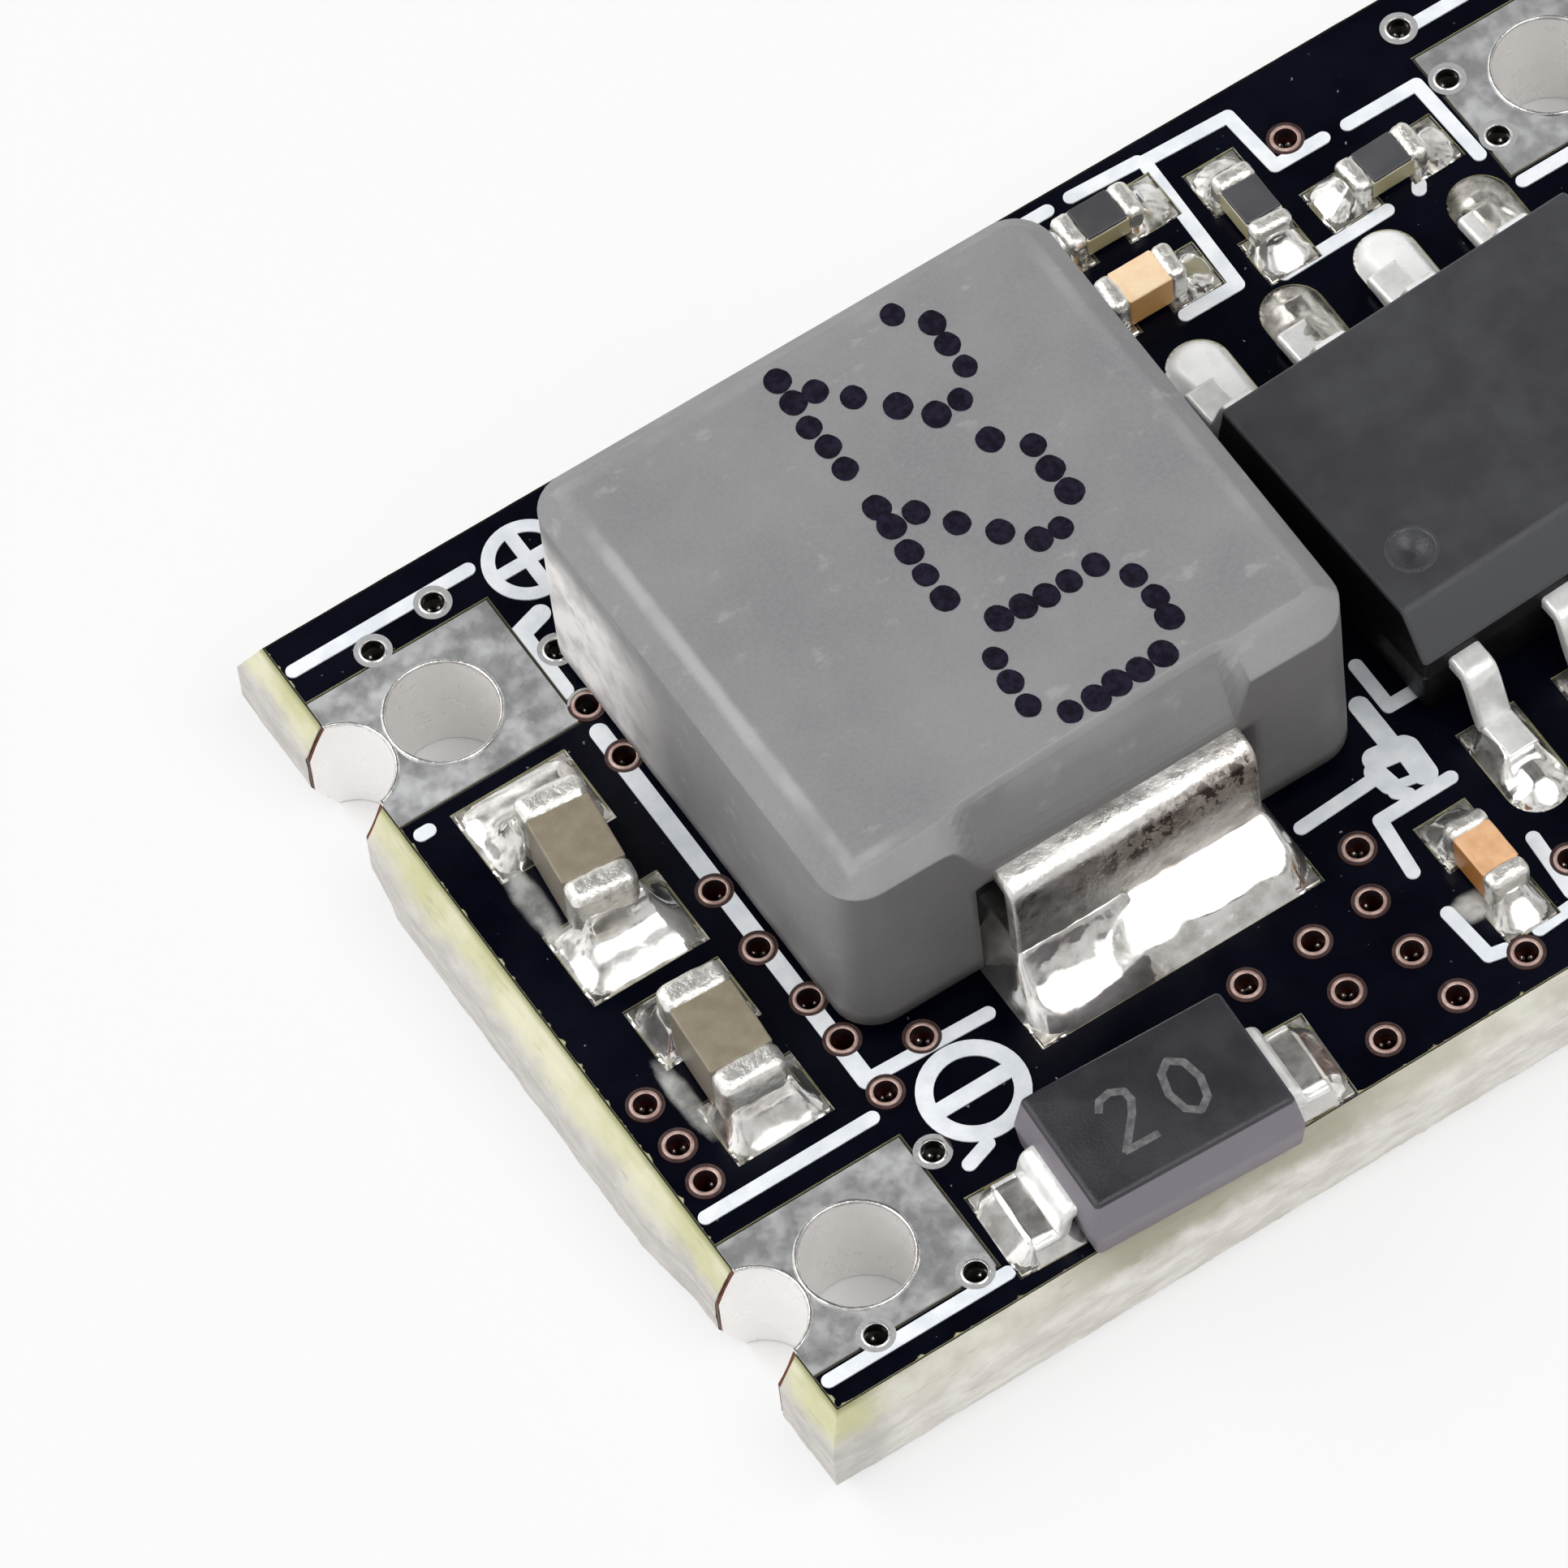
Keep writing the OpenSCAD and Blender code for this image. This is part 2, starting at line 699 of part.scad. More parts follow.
// The ceramic block of a two-ended part
module part_core(place, size) {
    at_place(place, solder_top)
        slab([size[0] - 2 * end_skin, size[1] - 2 * end_skin, size[2] - 2 * end_skin], end_skin);
}

// The two tinned ends, wrapped over the ceramic
module part_ends(place, size, end) {
    color([0.82, 0.82, 0.82]) difference() {
        at_place(place, solder_top) for (side = [-1, 1])
            translate([side * (size[0] - end) / 2, 0, 0]) slab([end, size[1], size[2]]);
        part_core(place, size);
    }
}

large_cap = [cap_x, cap_y, cap_z];
small_cap = [small_x, small_y, small_cap_z];
resistor = [small_x, small_y, resistor_z];

module capacitor_body(place) {
    color([0.55, 0.52, 0.44]) part_core(place, large_cap);
}

module small_capacitor_body(place) {
    color([0.85, 0.6, 0.38]) part_core(place, small_cap);
}

module resistor_coat(place) {
    color([0.15, 0.15, 0.16]) at_place(place, solder_top + resistor_z - end_skin - coat_t)
        slab([small_x - 2 * small_end, small_y - 2 * end_skin, coat_t]);
}

module resistor_base(place) {
    color([0.9, 0.9, 0.88]) difference() {
        part_core(place, resistor);
        resistor_coat(place);
    }
}

// ---- solder ----

// One end's solder: the film on the land and a fillet up the part's end, pointing out along x
module end_joint(part_half, under, land_out, width, height) {
    translate([part_half - under, -width / 2, 0]) cube([land_out - part_half + under, width, joint_t]);
    translate([0, width / 2, 0]) rotate([90, 0, 0]) linear_extrude(height = width)
        polygon([[part_half, joint_t], [land_out, joint_t], [part_half, height]]);
}

module pair_joints(place, part_half, under, land_out, width, height) {
    for (side = [0, 180]) at_place(place, board_t) rotate([0, 0, side])
        end_joint(part_half, under, land_out, width, height);
}

module capacitor_joints(place, land, pitch) {
    color([0.75, 0.75, 0.76])
        pair_joints(place, cap_x / 2, cap_end, pitch / 2 + land[0] / 2 - fillet_margin, cap_y, cap_fillet_z);
}

module solder_output_capacitors() {
    capacitor_joints(output_cap_1_place, wide_cap_land, wide_cap_pitch);
    capacitor_joints(output_cap_2_place, cap_land, cap_land_pitch);
}

module solder_input_capacitors() {
    for (place = [input_cap_1_place, input_cap_2_place]) capacitor_joints(place, cap_land, cap_land_pitch);
}

module solder_small_parts() {
    reach = small_land_pitch / 2 + small_land[0] / 2;
    color([0.75, 0.75, 0.76]) for (place = small_places)
        pair_joints(place, small_x / 2, small_end, reach, small_y, small_fillet_z);
}

module solder_diode() {
    reach = diode_land_pitch / 2 + diode_land[0] / 2;
    film = diode_span / 2 - diode_land_pitch / 2 + diode_land[0] / 2;
    color([0.75, 0.75, 0.76])
        pair_joints(diode_place, diode_span / 2, film, reach, diode_lead_w, diode_lead_t + joint_t);
}

module solder_inductor() {
    face = core_y / 2 + strap_out;
    land_edge = core_y / 2 + core_land_out;
    color([0.75, 0.75, 0.76]) at_place(core_place, board_t) for (turn = [0, 180])
        rotate([0, 0, turn]) translate([strap_shift, 0, 0]) rotate([0, 0, -90])
            end_joint(face, strap_foot, land_edge, strap_w, strap_fillet_z);
}

module solder_regulator() {
    reach = chip_land_out - fillet_margin;
    color([0.75, 0.75, 0.76]) at_place(chip_place, board_t) {
        for (side = [0, 180], x = lead_offsets) rotate([0, 0, side]) translate([x, 0, 0])
            rotate([0, 0, 90]) end_joint(lead_span / 2, lead_foot, reach, lead_w, lead_t + joint_t);
        slab([paddle_size[0], paddle_size[1], joint_t]);
    }
}

laminate();
solder_mask_top();
solder_mask_bottom();
legend_top();
via_barrels();
component_lands();
corner_terminal(0, 1);  // corner_terminal_out_plus
corner_terminal(0, 0);  // corner_terminal_out_minus
corner_terminal(1, 1);  // corner_terminal_in_plus
corner_terminal(1, 0);  // corner_terminal_in_minus
inductor_core();
inductor_coil();
inductor_terminal(0);  // inductor_terminal_near
inductor_terminal(180);  // inductor_terminal_far
regulator_body();
regulator_leads(180);  // regulator_leads_near
regulator_leads(0);  // regulator_leads_far
regulator_paddle();
regulator_die();
diode_body();
diode_lead_left();
diode_lead_right();
diode_die();
capacitor_body(output_cap_1_place);  // output_capacitor_1
part_ends(output_cap_1_place, large_cap, cap_end);  // output_capacitor_1_ends
capacitor_body(output_cap_2_place);  // output_capacitor_2
part_ends(output_cap_2_place, large_cap, cap_end);  // output_capacitor_2_ends
capacitor_body(input_cap_1_place);  // input_capacitor_1
part_ends(input_cap_1_place, large_cap, cap_end);  // input_capacitor_1_ends
capacitor_body(input_cap_2_place);  // input_capacitor_2
part_ends(input_cap_2_place, large_cap, cap_end);  // input_capacitor_2_ends
small_capacitor_body(boost_cap_place);  // boost_capacitor
part_ends(boost_cap_place, small_cap, small_end);  // boost_capacitor_ends
small_capacitor_body(filter_cap_place);  // filter_capacitor
part_ends(filter_cap_place, small_cap, small_end);  // filter_capacitor_ends
resistor_base(resistor_1_place);  // feedback_resistor_1
resistor_coat(resistor_1_place);  // feedback_resistor_1_coat
part_ends(resistor_1_place, resistor, small_end);  // feedback_resistor_1_ends
resistor_base(resistor_2_place);  // feedback_resistor_2
resistor_coat(resistor_2_place);  // feedback_resistor_2_coat
part_ends(resistor_2_place, resistor, small_end);  // feedback_resistor_2_ends
resistor_base(resistor_3_place);  // feedback_resistor_3
resistor_coat(resistor_3_place);  // feedback_resistor_3_coat
part_ends(resistor_3_place, resistor, small_end);  // feedback_resistor_3_ends
solder_inductor();
solder_regulator();
solder_diode();
solder_output_capacitors();
solder_input_capacitors();
solder_small_parts();
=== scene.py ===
"""Looks of the step-down converter module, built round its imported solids.

The solids keep the sizes. Here they get their finish, and solder, tinned ends, straps, the
pressed block and the snapped edges get pieces with the form that those have up close.
Lengths are in millimetres until they reach a mesh, and MM turns them into metres.
Board coordinates run from the near left corner of the masked face: x along it, y across it.
"""
import math
import random
from collections import namedtuple

import bmesh
import bpy
from mathutils import Matrix, Vector, noise


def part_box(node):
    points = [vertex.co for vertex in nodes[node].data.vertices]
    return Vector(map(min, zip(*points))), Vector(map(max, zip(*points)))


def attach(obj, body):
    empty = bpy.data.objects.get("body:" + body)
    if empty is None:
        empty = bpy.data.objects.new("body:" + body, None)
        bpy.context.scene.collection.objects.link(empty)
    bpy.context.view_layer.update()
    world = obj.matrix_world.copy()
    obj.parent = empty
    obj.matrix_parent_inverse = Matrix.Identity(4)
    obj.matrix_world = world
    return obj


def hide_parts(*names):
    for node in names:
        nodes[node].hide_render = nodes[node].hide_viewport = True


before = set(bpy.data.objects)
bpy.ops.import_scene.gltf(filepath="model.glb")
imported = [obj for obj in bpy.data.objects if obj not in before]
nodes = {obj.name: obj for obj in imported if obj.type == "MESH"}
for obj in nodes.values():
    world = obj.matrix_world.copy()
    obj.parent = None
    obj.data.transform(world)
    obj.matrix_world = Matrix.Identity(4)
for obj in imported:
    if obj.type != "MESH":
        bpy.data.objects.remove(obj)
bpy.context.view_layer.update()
scene = bpy.context.scene

MM = 0.001
mask_low, mask_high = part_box("solder_mask_top")
LAND_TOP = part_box("component_lands")[1].z
BOARD_X = (mask_high.x - mask_low.x) / MM
BOARD_Y = (mask_high.y - mask_low.y) / MM
BOARD_T = LAND_TOP / MM
CORE_X, CORE_Y = 6.65, 6.5  # the inductor's pressed block
STRAP_W = 3.2
STRAP_SHIFT = 0.13  # each strap sits this far off the block's middle
STRAP_FACE = CORE_Y / 2 + 0.4  # how far the solder's feet and the strap stand out
PAD_X, PAD_Y = 2.75, 2.6  # a corner pad's reach from the masked face's corner, with some room
LEAD_PITCH = 1.27
CHIP_TURN = 2.5  # the regulator sits a little askew, in degrees
CHIP_LANDS = (12.44, 5.44)  # middle of the regulator's lands on the board
DIODE_TURN = -2.5
DIMPLE = (-1.79, -0.87)  # the first pin's mark on the regulator, in its own axes
DIMPLE_R = 0.26
CAMERA_ANGLES = (26.472, 58.598, -7.532)  # azimuth, elevation and roll of the photograph
CAMERA_TARGET = (3.766, 6.874)
CAMERA_AWAY = 147.848
CAMERA_LENS = 308.37205  # with a sensor 36 mm wide


# ---- placing ----

def board(x, y, z=0.0):
    """A point in board coordinates, z above the lands, in metres."""
    return Vector((mask_low.x + x * MM, mask_low.y + y * MM, LAND_TOP + z * MM))


def centre(node):
    """The middle of a node in board coordinates."""
    low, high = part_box(node)
    mid = (low + high) / 2
    return (mid.x - mask_low.x) / MM, (mid.y - mask_low.y) / MM


def top_of(node):
    """A node's highest point above the lands, in millimetres."""
    return (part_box(node)[1].z - LAND_TOP) / MM


def place(x, y, turn):
    """The matrix from a part's own axes, in millimetres, to the scene in metres."""
    return (
        Matrix.Translation(board(x, y))
        @ Matrix.Rotation(math.radians(turn), 4, "Z")
        @ Matrix.Scale(MM, 4)
    )


def wobble(point, size, seed=0.0, octaves=3):
    """Smooth noise from -1 to 1 with features of a size in millimetres."""
    shifted = Vector(point) / size + Vector((seed, 1.7 * seed, -0.6 * seed))
    return noise.fractal(shifted, 0.9, 2.0, octaves)


def smooth(t):
    """A soft step from 0 to 1."""
    t = min(max(t, 0.0), 1.0)
    return t * t * (3 - 2 * t)


def around(count, start=0.0):
    """The cosine and sine of evenly spaced turns round a circle."""
    turns = [start + math.tau * k / count for k in range(count)]
    return [(math.cos(a), math.sin(a)) for a in turns]


# ---- meshes ----

def add(name, data):
    """Puts a mesh, a light or a camera into the scene."""
    obj = bpy.data.objects.new(name, data)
    scene.collection.objects.link(obj)
    return obj


class Mesh:
    """Gathers points and faces, and turns them into one piece that rides on the root."""

    def __init__(self):
        self.points = []
        self.faces = []

    def grid(self, rows, closed=False):
        """Quads between rows of points; closed joins each row's end to its start."""
        start = len(self.points)
        width = len(rows[0])
        for row in rows:
            self.points.extend(row)
        for r in range(len(rows) - 1):
            for c in range(width if closed else width - 1):
                a = start + r * width + c
                b = start + r * width + (c + 1) % width
                self.faces.append((a, b, b + width, a + width))
        return start

    def cap(self, first, count, flip=False):
        """A fan over a loop of points that were added one after another."""
        loop = range(first, first + count)
        self.points.append(sum((Vector(self.points[i]) for i in loop), Vector()) / count)
        hub = len(self.points) - 1
        for k, i in enumerate(loop):
            j = loop[(k + 1) % count]
            self.faces.append((j, i, hub) if flip else (i, j, hub))

    def tube(self, rows, *ends):
        """Quads round closed rows, with a fan over each end, given as (row, flip)."""
        start, count = self.grid(rows, closed=True), len(rows[0])
        for row, flip in ends:
            self.cap(start + row % len(rows) * count, count, flip)

    def piece(self, name, material, slot, replaced=(), flat=False, merge=0.0):
        data = bpy.data.meshes.new(name)
        data.from_pydata([tuple(p) for p in self.points], [], self.faces)
        data.validate()
        if merge:
            work = bmesh.new()
            work.from_mesh(data)
            bmesh.ops.remove_doubles(work, verts=work.verts, dist=merge)
            bmesh.ops.recalc_face_normals(work, faces=work.faces)
            work.to_mesh(data)
            work.free()
        for face in data.polygons:
            face.use_smooth = not flat
        data.materials.append(material)
        obj = add(name, data)
        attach(obj, "root")
        if replaced:
            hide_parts(*replaced)


# ---- materials ----

def srgb(r, g, b):
    """A screen colour from 0 to 255 as the scene's linear colour."""
    out = []
    for v in (r, g, b):
        v = v / 255
        out.append(v / 12.92 if v <= 0.04045 else ((v + 0.055) / 1.055) ** 2.4)
    return (*out, 1.0)


class Graph:
    """Adds nodes to a shader tree, from one socket of coordinates."""

    def __init__(self, tree, coordinates):
        self.tree = tree
        self.where = self.node("TexCoord").outputs[coordinates]

    def feed(self, target, value):
        """Gives a socket a link, or a plain value, with a screen colour written as (r, g, b)."""
        if isinstance(value, bpy.types.NodeSocket):
            self.tree.links.new(value, target)
        elif target.type == "RGBA" and len(value) == 3:
            target.default_value = srgb(*value)
        else:
            target.default_value = value

    def node(self, kind, inputs=None, **settings):
        made = self.tree.nodes.new("ShaderNode" + kind)
        for name, value in settings.items():
            setattr(made, name, value)
        for socket, value in (inputs or {}).items():
            self.feed(made.inputs[socket], value)
        return made

    def span(self, value, low, high, out_low=0.0, out_high=1.0, kind="SMOOTHSTEP"):
        """A value from low to high, clamped and mapped to a new range."""
        ends = {"From Min": low, "From Max": high, "To Min": out_low, "To Max": out_high}
        return self.node("MapRange", {"Value": value, **ends}, interpolation_type=kind).outputs["Result"]

    def maths(self, kind, a, b=0.0):
        return self.node("Math", {0: a, 1: b}, operation=kind).outputs[0]

    def plus(self, a, b):
        return self.maths("ADD", a, b)

    def minus(self, a, b):
        return self.maths("SUBTRACT", a, b)

    def times(self, first, *others):
        for other in others:
            first = self.maths("MULTIPLY", first, other)
        return first

    def size_of(self, value):
        return self.maths("ABSOLUTE", value)

    def blend(self, amount, a, b, kind="MIX"):
        """Colour a turning to colour b."""
        return self.node("Mix", {0: amount, 6: a, 7: b}, data_type="RGBA", blend_type=kind).outputs[2]

    def along(self, direction):
        """How far the coordinates reach in a direction."""
        dot = self.node("VectorMath", {0: self.where, 1: direction}, operation="DOT_PRODUCT")
        return dot.outputs["Value"]


class Finish(Graph):
    """A node material on the part's own coordinates. Noise sizes and depths are in millimetres."""

    def __init__(self, name, roughness=0.5, metallic=0.0, specular=0.5):
        self.material = bpy.data.materials.new(name)
        self.material.use_nodes = True
        super().__init__(self.material.node_tree, "Object")
        self.x, self.y, self.z = self.node("SeparateXYZ", {0: self.where}).outputs
        self.shader = next(n for n in self.tree.nodes if n.type == "BSDF_PRINCIPLED")
        self.set("Roughness", roughness)
        self.set("Metallic", metallic)
        self.set("Specular IOR Level", specular)

    def set(self, socket, value):
        self.feed(self.shader.inputs[socket], value)

    def noise(self, size, detail=4.0, rough=0.55, stretch=(1, 1, 1), shift=(0, 0, 0)):
        """Noise with features of a size."""
        moved = {"Vector": self.where, "Scale": stretch, "Location": [s * MM for s in shift]}
        spots = {
            "Vector": self.node("Mapping", moved).outputs["Vector"],
            "Scale": 1 / (size * MM), "Detail": detail, "Roughness": rough,
        }
        return self.node("TexNoise", spots).outputs["Fac"]

    def patches(self, size, detail, low, high, out_low=0.0, out_high=1.0, **shape):
        """Noise cut down to the part of its range between low and high."""
        return self.span(self.noise(size, detail, **shape), low, high, out_low, out_high)

    def tones(self, size, detail, dark, light, low=0.3, high=0.7, **shape):
        """A colour that wanders between a dark and a light tone."""
        return self.blend(self.patches(size, detail, low, high, **shape), dark, light)

    def normal(self, letter, kind="True Normal"):
        """One part of the face's direction, from -1 to 1."""
        shape = self.node("NewGeometry").outputs[kind]
        return self.node("SeparateXYZ", {0: shape}).outputs[letter]

    def facing(self):
        """How far the true face looks up or down, from 0 on a wall to 1."""
        return self.size_of(self.normal("Z"))

    def walls(self, low=0.2, high=0.6):
        """1 on upright faces and 0 on level ones."""
        return self.span(self.facing(), low, high, 1.0, 0.0)

    def coat(self, amount, colour):
        """Lays another colour over the base colour."""
        self.base = self.blend(amount, self.base, colour)

    def done(self, height, depth):
        """Connects the base colour and a relief, and returns the material."""
        self.set("Base Color", self.base)
        relief = self.node("Bump", {"Strength": 1.0, "Distance": depth * MM, "Height": height})
        self.set("Normal", relief.outputs["Normal"])
        return self.material

    def corner_pads(self):
        """1 over the corner pads and 0 elsewhere."""
        on_x = self.maths("GREATER_THAN", self.size_of(self.x), (BOARD_X / 2 - PAD_X) * MM)
        on_y = self.maths("GREATER_THAN", self.size_of(self.y), (BOARD_Y / 2 - PAD_Y) * MM)
        return self.times(on_x, on_y)


def mottled(name, tones, relief, roughness=0.5, metallic=0.0, specular=0.5, **shape):
    """A finish of one wandering colour; relief is the size, detail and depth of its fine bumps."""
    f = Finish(name, roughness, metallic, specular)
    f.base = f.tones(*tones)
    size, detail, depth = relief
    return f.done(f.noise(size, detail, **shape), depth)


def mask_finish():
    f = Finish("solder_mask_gloss", roughness=0.24, specular=0.09)
    f.base = f.tones(1.6, 5, (2, 3, 13), (10, 12, 24), 0.35)
    f.coat(f.patches(0.09, 2, 0.76, 0.82, rough=0.4), (120, 124, 130))
    # the scored edge leaves the mask a little ragged, with bare laminate in the nicks
    in_x = f.minus(f.size_of(f.x), BOARD_X / 2 * MM)
    in_y = f.minus(f.times(f.y, -1), BOARD_Y / 2 * MM)
    edge = f.maths("MAXIMUM", in_x, in_y)
    nick = f.times(f.noise(0.2, 4), 0.24 * MM)
    bare = f.span(f.plus(edge, nick), 0.122 * MM, 0.138 * MM)
    f.coat(f.maths("MAXIMUM", bare, f.span(f.facing(), 0.5, 0.3)), (178, 176, 138))
    f.set("Roughness", f.patches(0.5, 4, 0.3, 0.7, 0.14, 0.3))
    return f.done(f.noise(0.35, 3), 0.003)


def laminate_finish():
    f = Finish("laminate_glass_epoxy", roughness=0.55)
    f.base = f.tones(0.22, 5, (206, 200, 190), (236, 232, 224), rough=0.6, stretch=(1, 1, 2.5))
    fibre = f.noise(0.05, 5, 0.65, (0.35, 0.35, 2.0))
    f.coat(f.span(fibre, 0.62, 0.74, 0, 0.45), (150, 142, 124))
    # the thin line of board that shows beside a land lies in the mask's shade
    f.coat(f.span(f.facing(), 0.96, 0.99), (52, 50, 40))
    return f.done(fibre, 0.03)


def web_finish():
    """Torn fibres: an olive or cream band under the mask, and paler glass below it."""
    f = Finish("snapped_web_fibres", roughness=0.7, specular=0.3)
    ragged = f.plus(f.z, f.times(f.noise(0.5, 3), 0.3 * MM))
    upper = f.span(ragged, 1.26 * MM, 1.5 * MM)
    left = f.span(f.times(f.x, -1), 7.9 * MM, 8.5 * MM)
    patch = f.patches(1.0, 5, 0.3, 0.68, stretch=(1, 1, 1.6))
    olive = f.blend(patch, (202, 201, 156), (226, 223, 196))
    olive = f.blend(f.span(f.z, 1.48 * MM, 1.58 * MM), olive, (160, 160, 116))
    cream = f.blend(patch, (198, 194, 178), (232, 229, 218))
    fine = f.patches(0.3, 5, 0.32, 0.68, rough=0.6, stretch=(0.6, 0.6, 1.8))
    pale = f.blend(fine, (212, 208, 200), (236, 232, 226))
    # a darker tone for the lower web on the left side, as painted shade
    shaded = f.blend(fine, (190, 187, 182), (210, 206, 201))
    # painted shadow: the near edge below the diode is painted darker, as the diode's shadow
    away = f.size_of(f.minus(f.x, (centre("diode_body")[0] - BOARD_X / 2 + 0.3) * MM))
    near_edge = f.span(f.y, -5.0 * MM, -5.8 * MM)
    diode_painted_shadow = f.times(f.span(away, 1.2 * MM, 2.6 * MM, 0.8, 0.0), near_edge)
    cream = f.blend(diode_painted_shadow, cream, (164, 160, 140))
    f.base = f.blend(upper, f.blend(left, pale, shaded), f.blend(left, cream, olive))
    streak = f.patches(0.09, 5, 0.56, 0.72, 0, 0.34, rough=0.6, stretch=(0.16, 0.16, 1.8))
    f.coat(streak, (160, 152, 138))
    return f.done(f.noise(0.08, 6, 0.7, (0.3, 0.3, 1.5)), 0.012)


def pad_finish():
    f = Finish("tinned_pad_scuffed", roughness=0.36, metallic=1.0)
    f.base = f.tones(0.9, 5, (214, 214, 215), (240, 241, 242), rough=0.6)
    scratch = f.patches(0.06, 3, 0.6, 0.8, 0, 0.3, rough=0.5, stretch=(0.25, 1.6, 1))
    speck = f.patches(0.07, 2, 0.72, 0.78, rough=0.5, shift=(3, 1, 0))
    for light in (scratch, speck):
        f.coat(light, (246, 246, 246))
    wall = f.walls()
    f.coat(wall, (247, 245, 243))
    # the cut ends of the half holes' plating show their copper
    beyond = f.maths("GREATER_THAN", f.size_of(f.x), (BOARD_X / 2 + 0.01) * MM)
    outward = f.maths("GREATER_THAN", f.size_of(f.normal("X")), 0.7)
    f.coat(f.times(beyond, outward), (112, 66, 52))
    f.set("Metallic", f.span(wall, 0, 1, 0.92, 0.3))
    f.set("Roughness", f.patches(0.3, 5, 0.3, 0.7, 0.24, 0.46))
    return f.done(f.noise(0.3, 4), 0.008)


def via_finish():
    f = Finish("via_copper", roughness=0.36, metallic=0.55)
    wall = f.walls()
    # painted shade: the barrel walls are painted dark brown, and dark grey where tinned, as shade inside
    # the holes
    f.base = f.blend(wall, f.tones(0.12, 3, (70, 52, 50), (92, 70, 66)), (104, 48, 38))
    # the vias in the corner pads are tinned with them
    f.coat(f.corner_pads(), f.blend(wall, (196, 196, 196), (96, 94, 90)))
    return f.done(f.noise(0.05, 4), 0.01)


def collar_finish():
    f = Finish("via_collar_copper", roughness=0.34, metallic=0.5)
    lip = f.tones(0.12, 3, (184, 150, 140), (222, 194, 183))
    # the mask creeps up the lip's outer slope and darkens it
    bare = f.span(f.z, LAND_TOP + 0.001 * MM, LAND_TOP + 0.009 * MM)
    f.base = f.blend(bare, (62, 44, 46), lip)
    return f.done(f.noise(0.06, 3), 0.006)


def solder_finish(name, dark, light, roughness, metallic=0.92):
    f = Finish(name, roughness=roughness, metallic=metallic)
    f.base = f.tones(0.4, 5, dark, light, 0.3, 0.62, rough=0.6)
    f.set("Roughness", f.patches(0.3, 4, 0.35, 0.75, roughness * 0.6, roughness * 2.4))
    return f.done(f.noise(0.4, 3, 0.45), 0.012)


def flux_finish():
    f = Finish("flux_clear", roughness=0.16)
    f.base = f.tones(0.3, 4, (208, 208, 204), (238, 238, 234))
    # the film thins out to nothing, and its height tells how near the edge is
    thin = f.span(f.z, LAND_TOP - 0.01 * MM, LAND_TOP + 0.012 * MM)
    f.set("Alpha", f.times(thin, f.patches(0.35, 3, 0.3, 0.7, 0.3, 0.8)))
    return f.done(f.noise(0.12, 3), 0.01)


def strap_finish():
    f = Finish("strap_tinned_stained", roughness=0.34, metallic=1.0)
    f.base = f.tones(0.35, 5, (222, 216, 210), (250, 248, 244), 0.3, 0.68, rough=0.6, stretch=(0.5, 1, 1))
    # flux and soot burnt on below the upper bend, thinner toward the left
    height = f.plus(f.z, f.times(f.x, -0.08))
    band = f.span(f.size_of(f.minus(height, 3.24 * MM)), 0.16 * MM, 0.4 * MM, 1.0, 0.0)
    burnt = f.times(band, f.span(f.x, -3.9 * MM, -2.6 * MM))
    f.coat(f.times(burnt, 0.5), (166, 146, 130))
    soot = f.times(burnt, f.patches(0.17, 7, 0.48, 0.54, rough=0.72, stretch=(1.0, 1, 0.8)))
    f.coat(soot, (46, 30, 23))
    low = f.span(f.times(f.z, -1), -2.4 * MM, -1.9 * MM)
    left = f.span(f.times(f.x, -1), 2.6 * MM, 3.6 * MM)
    flux = f.times(low, left, f.patches(0.3, 4, 0.4, 0.55, 0, 0.9))
    f.coat(flux, (104, 84, 46))
    f.set("Metallic", f.span(soot, 0, 1, 1.0, 0.2))
    f.set("Roughness", f.patches(0.3, 5, 0.3, 0.7, 0.22, 0.5))
    return f.done(f.noise(0.12, 5, 0.6), 0.015)


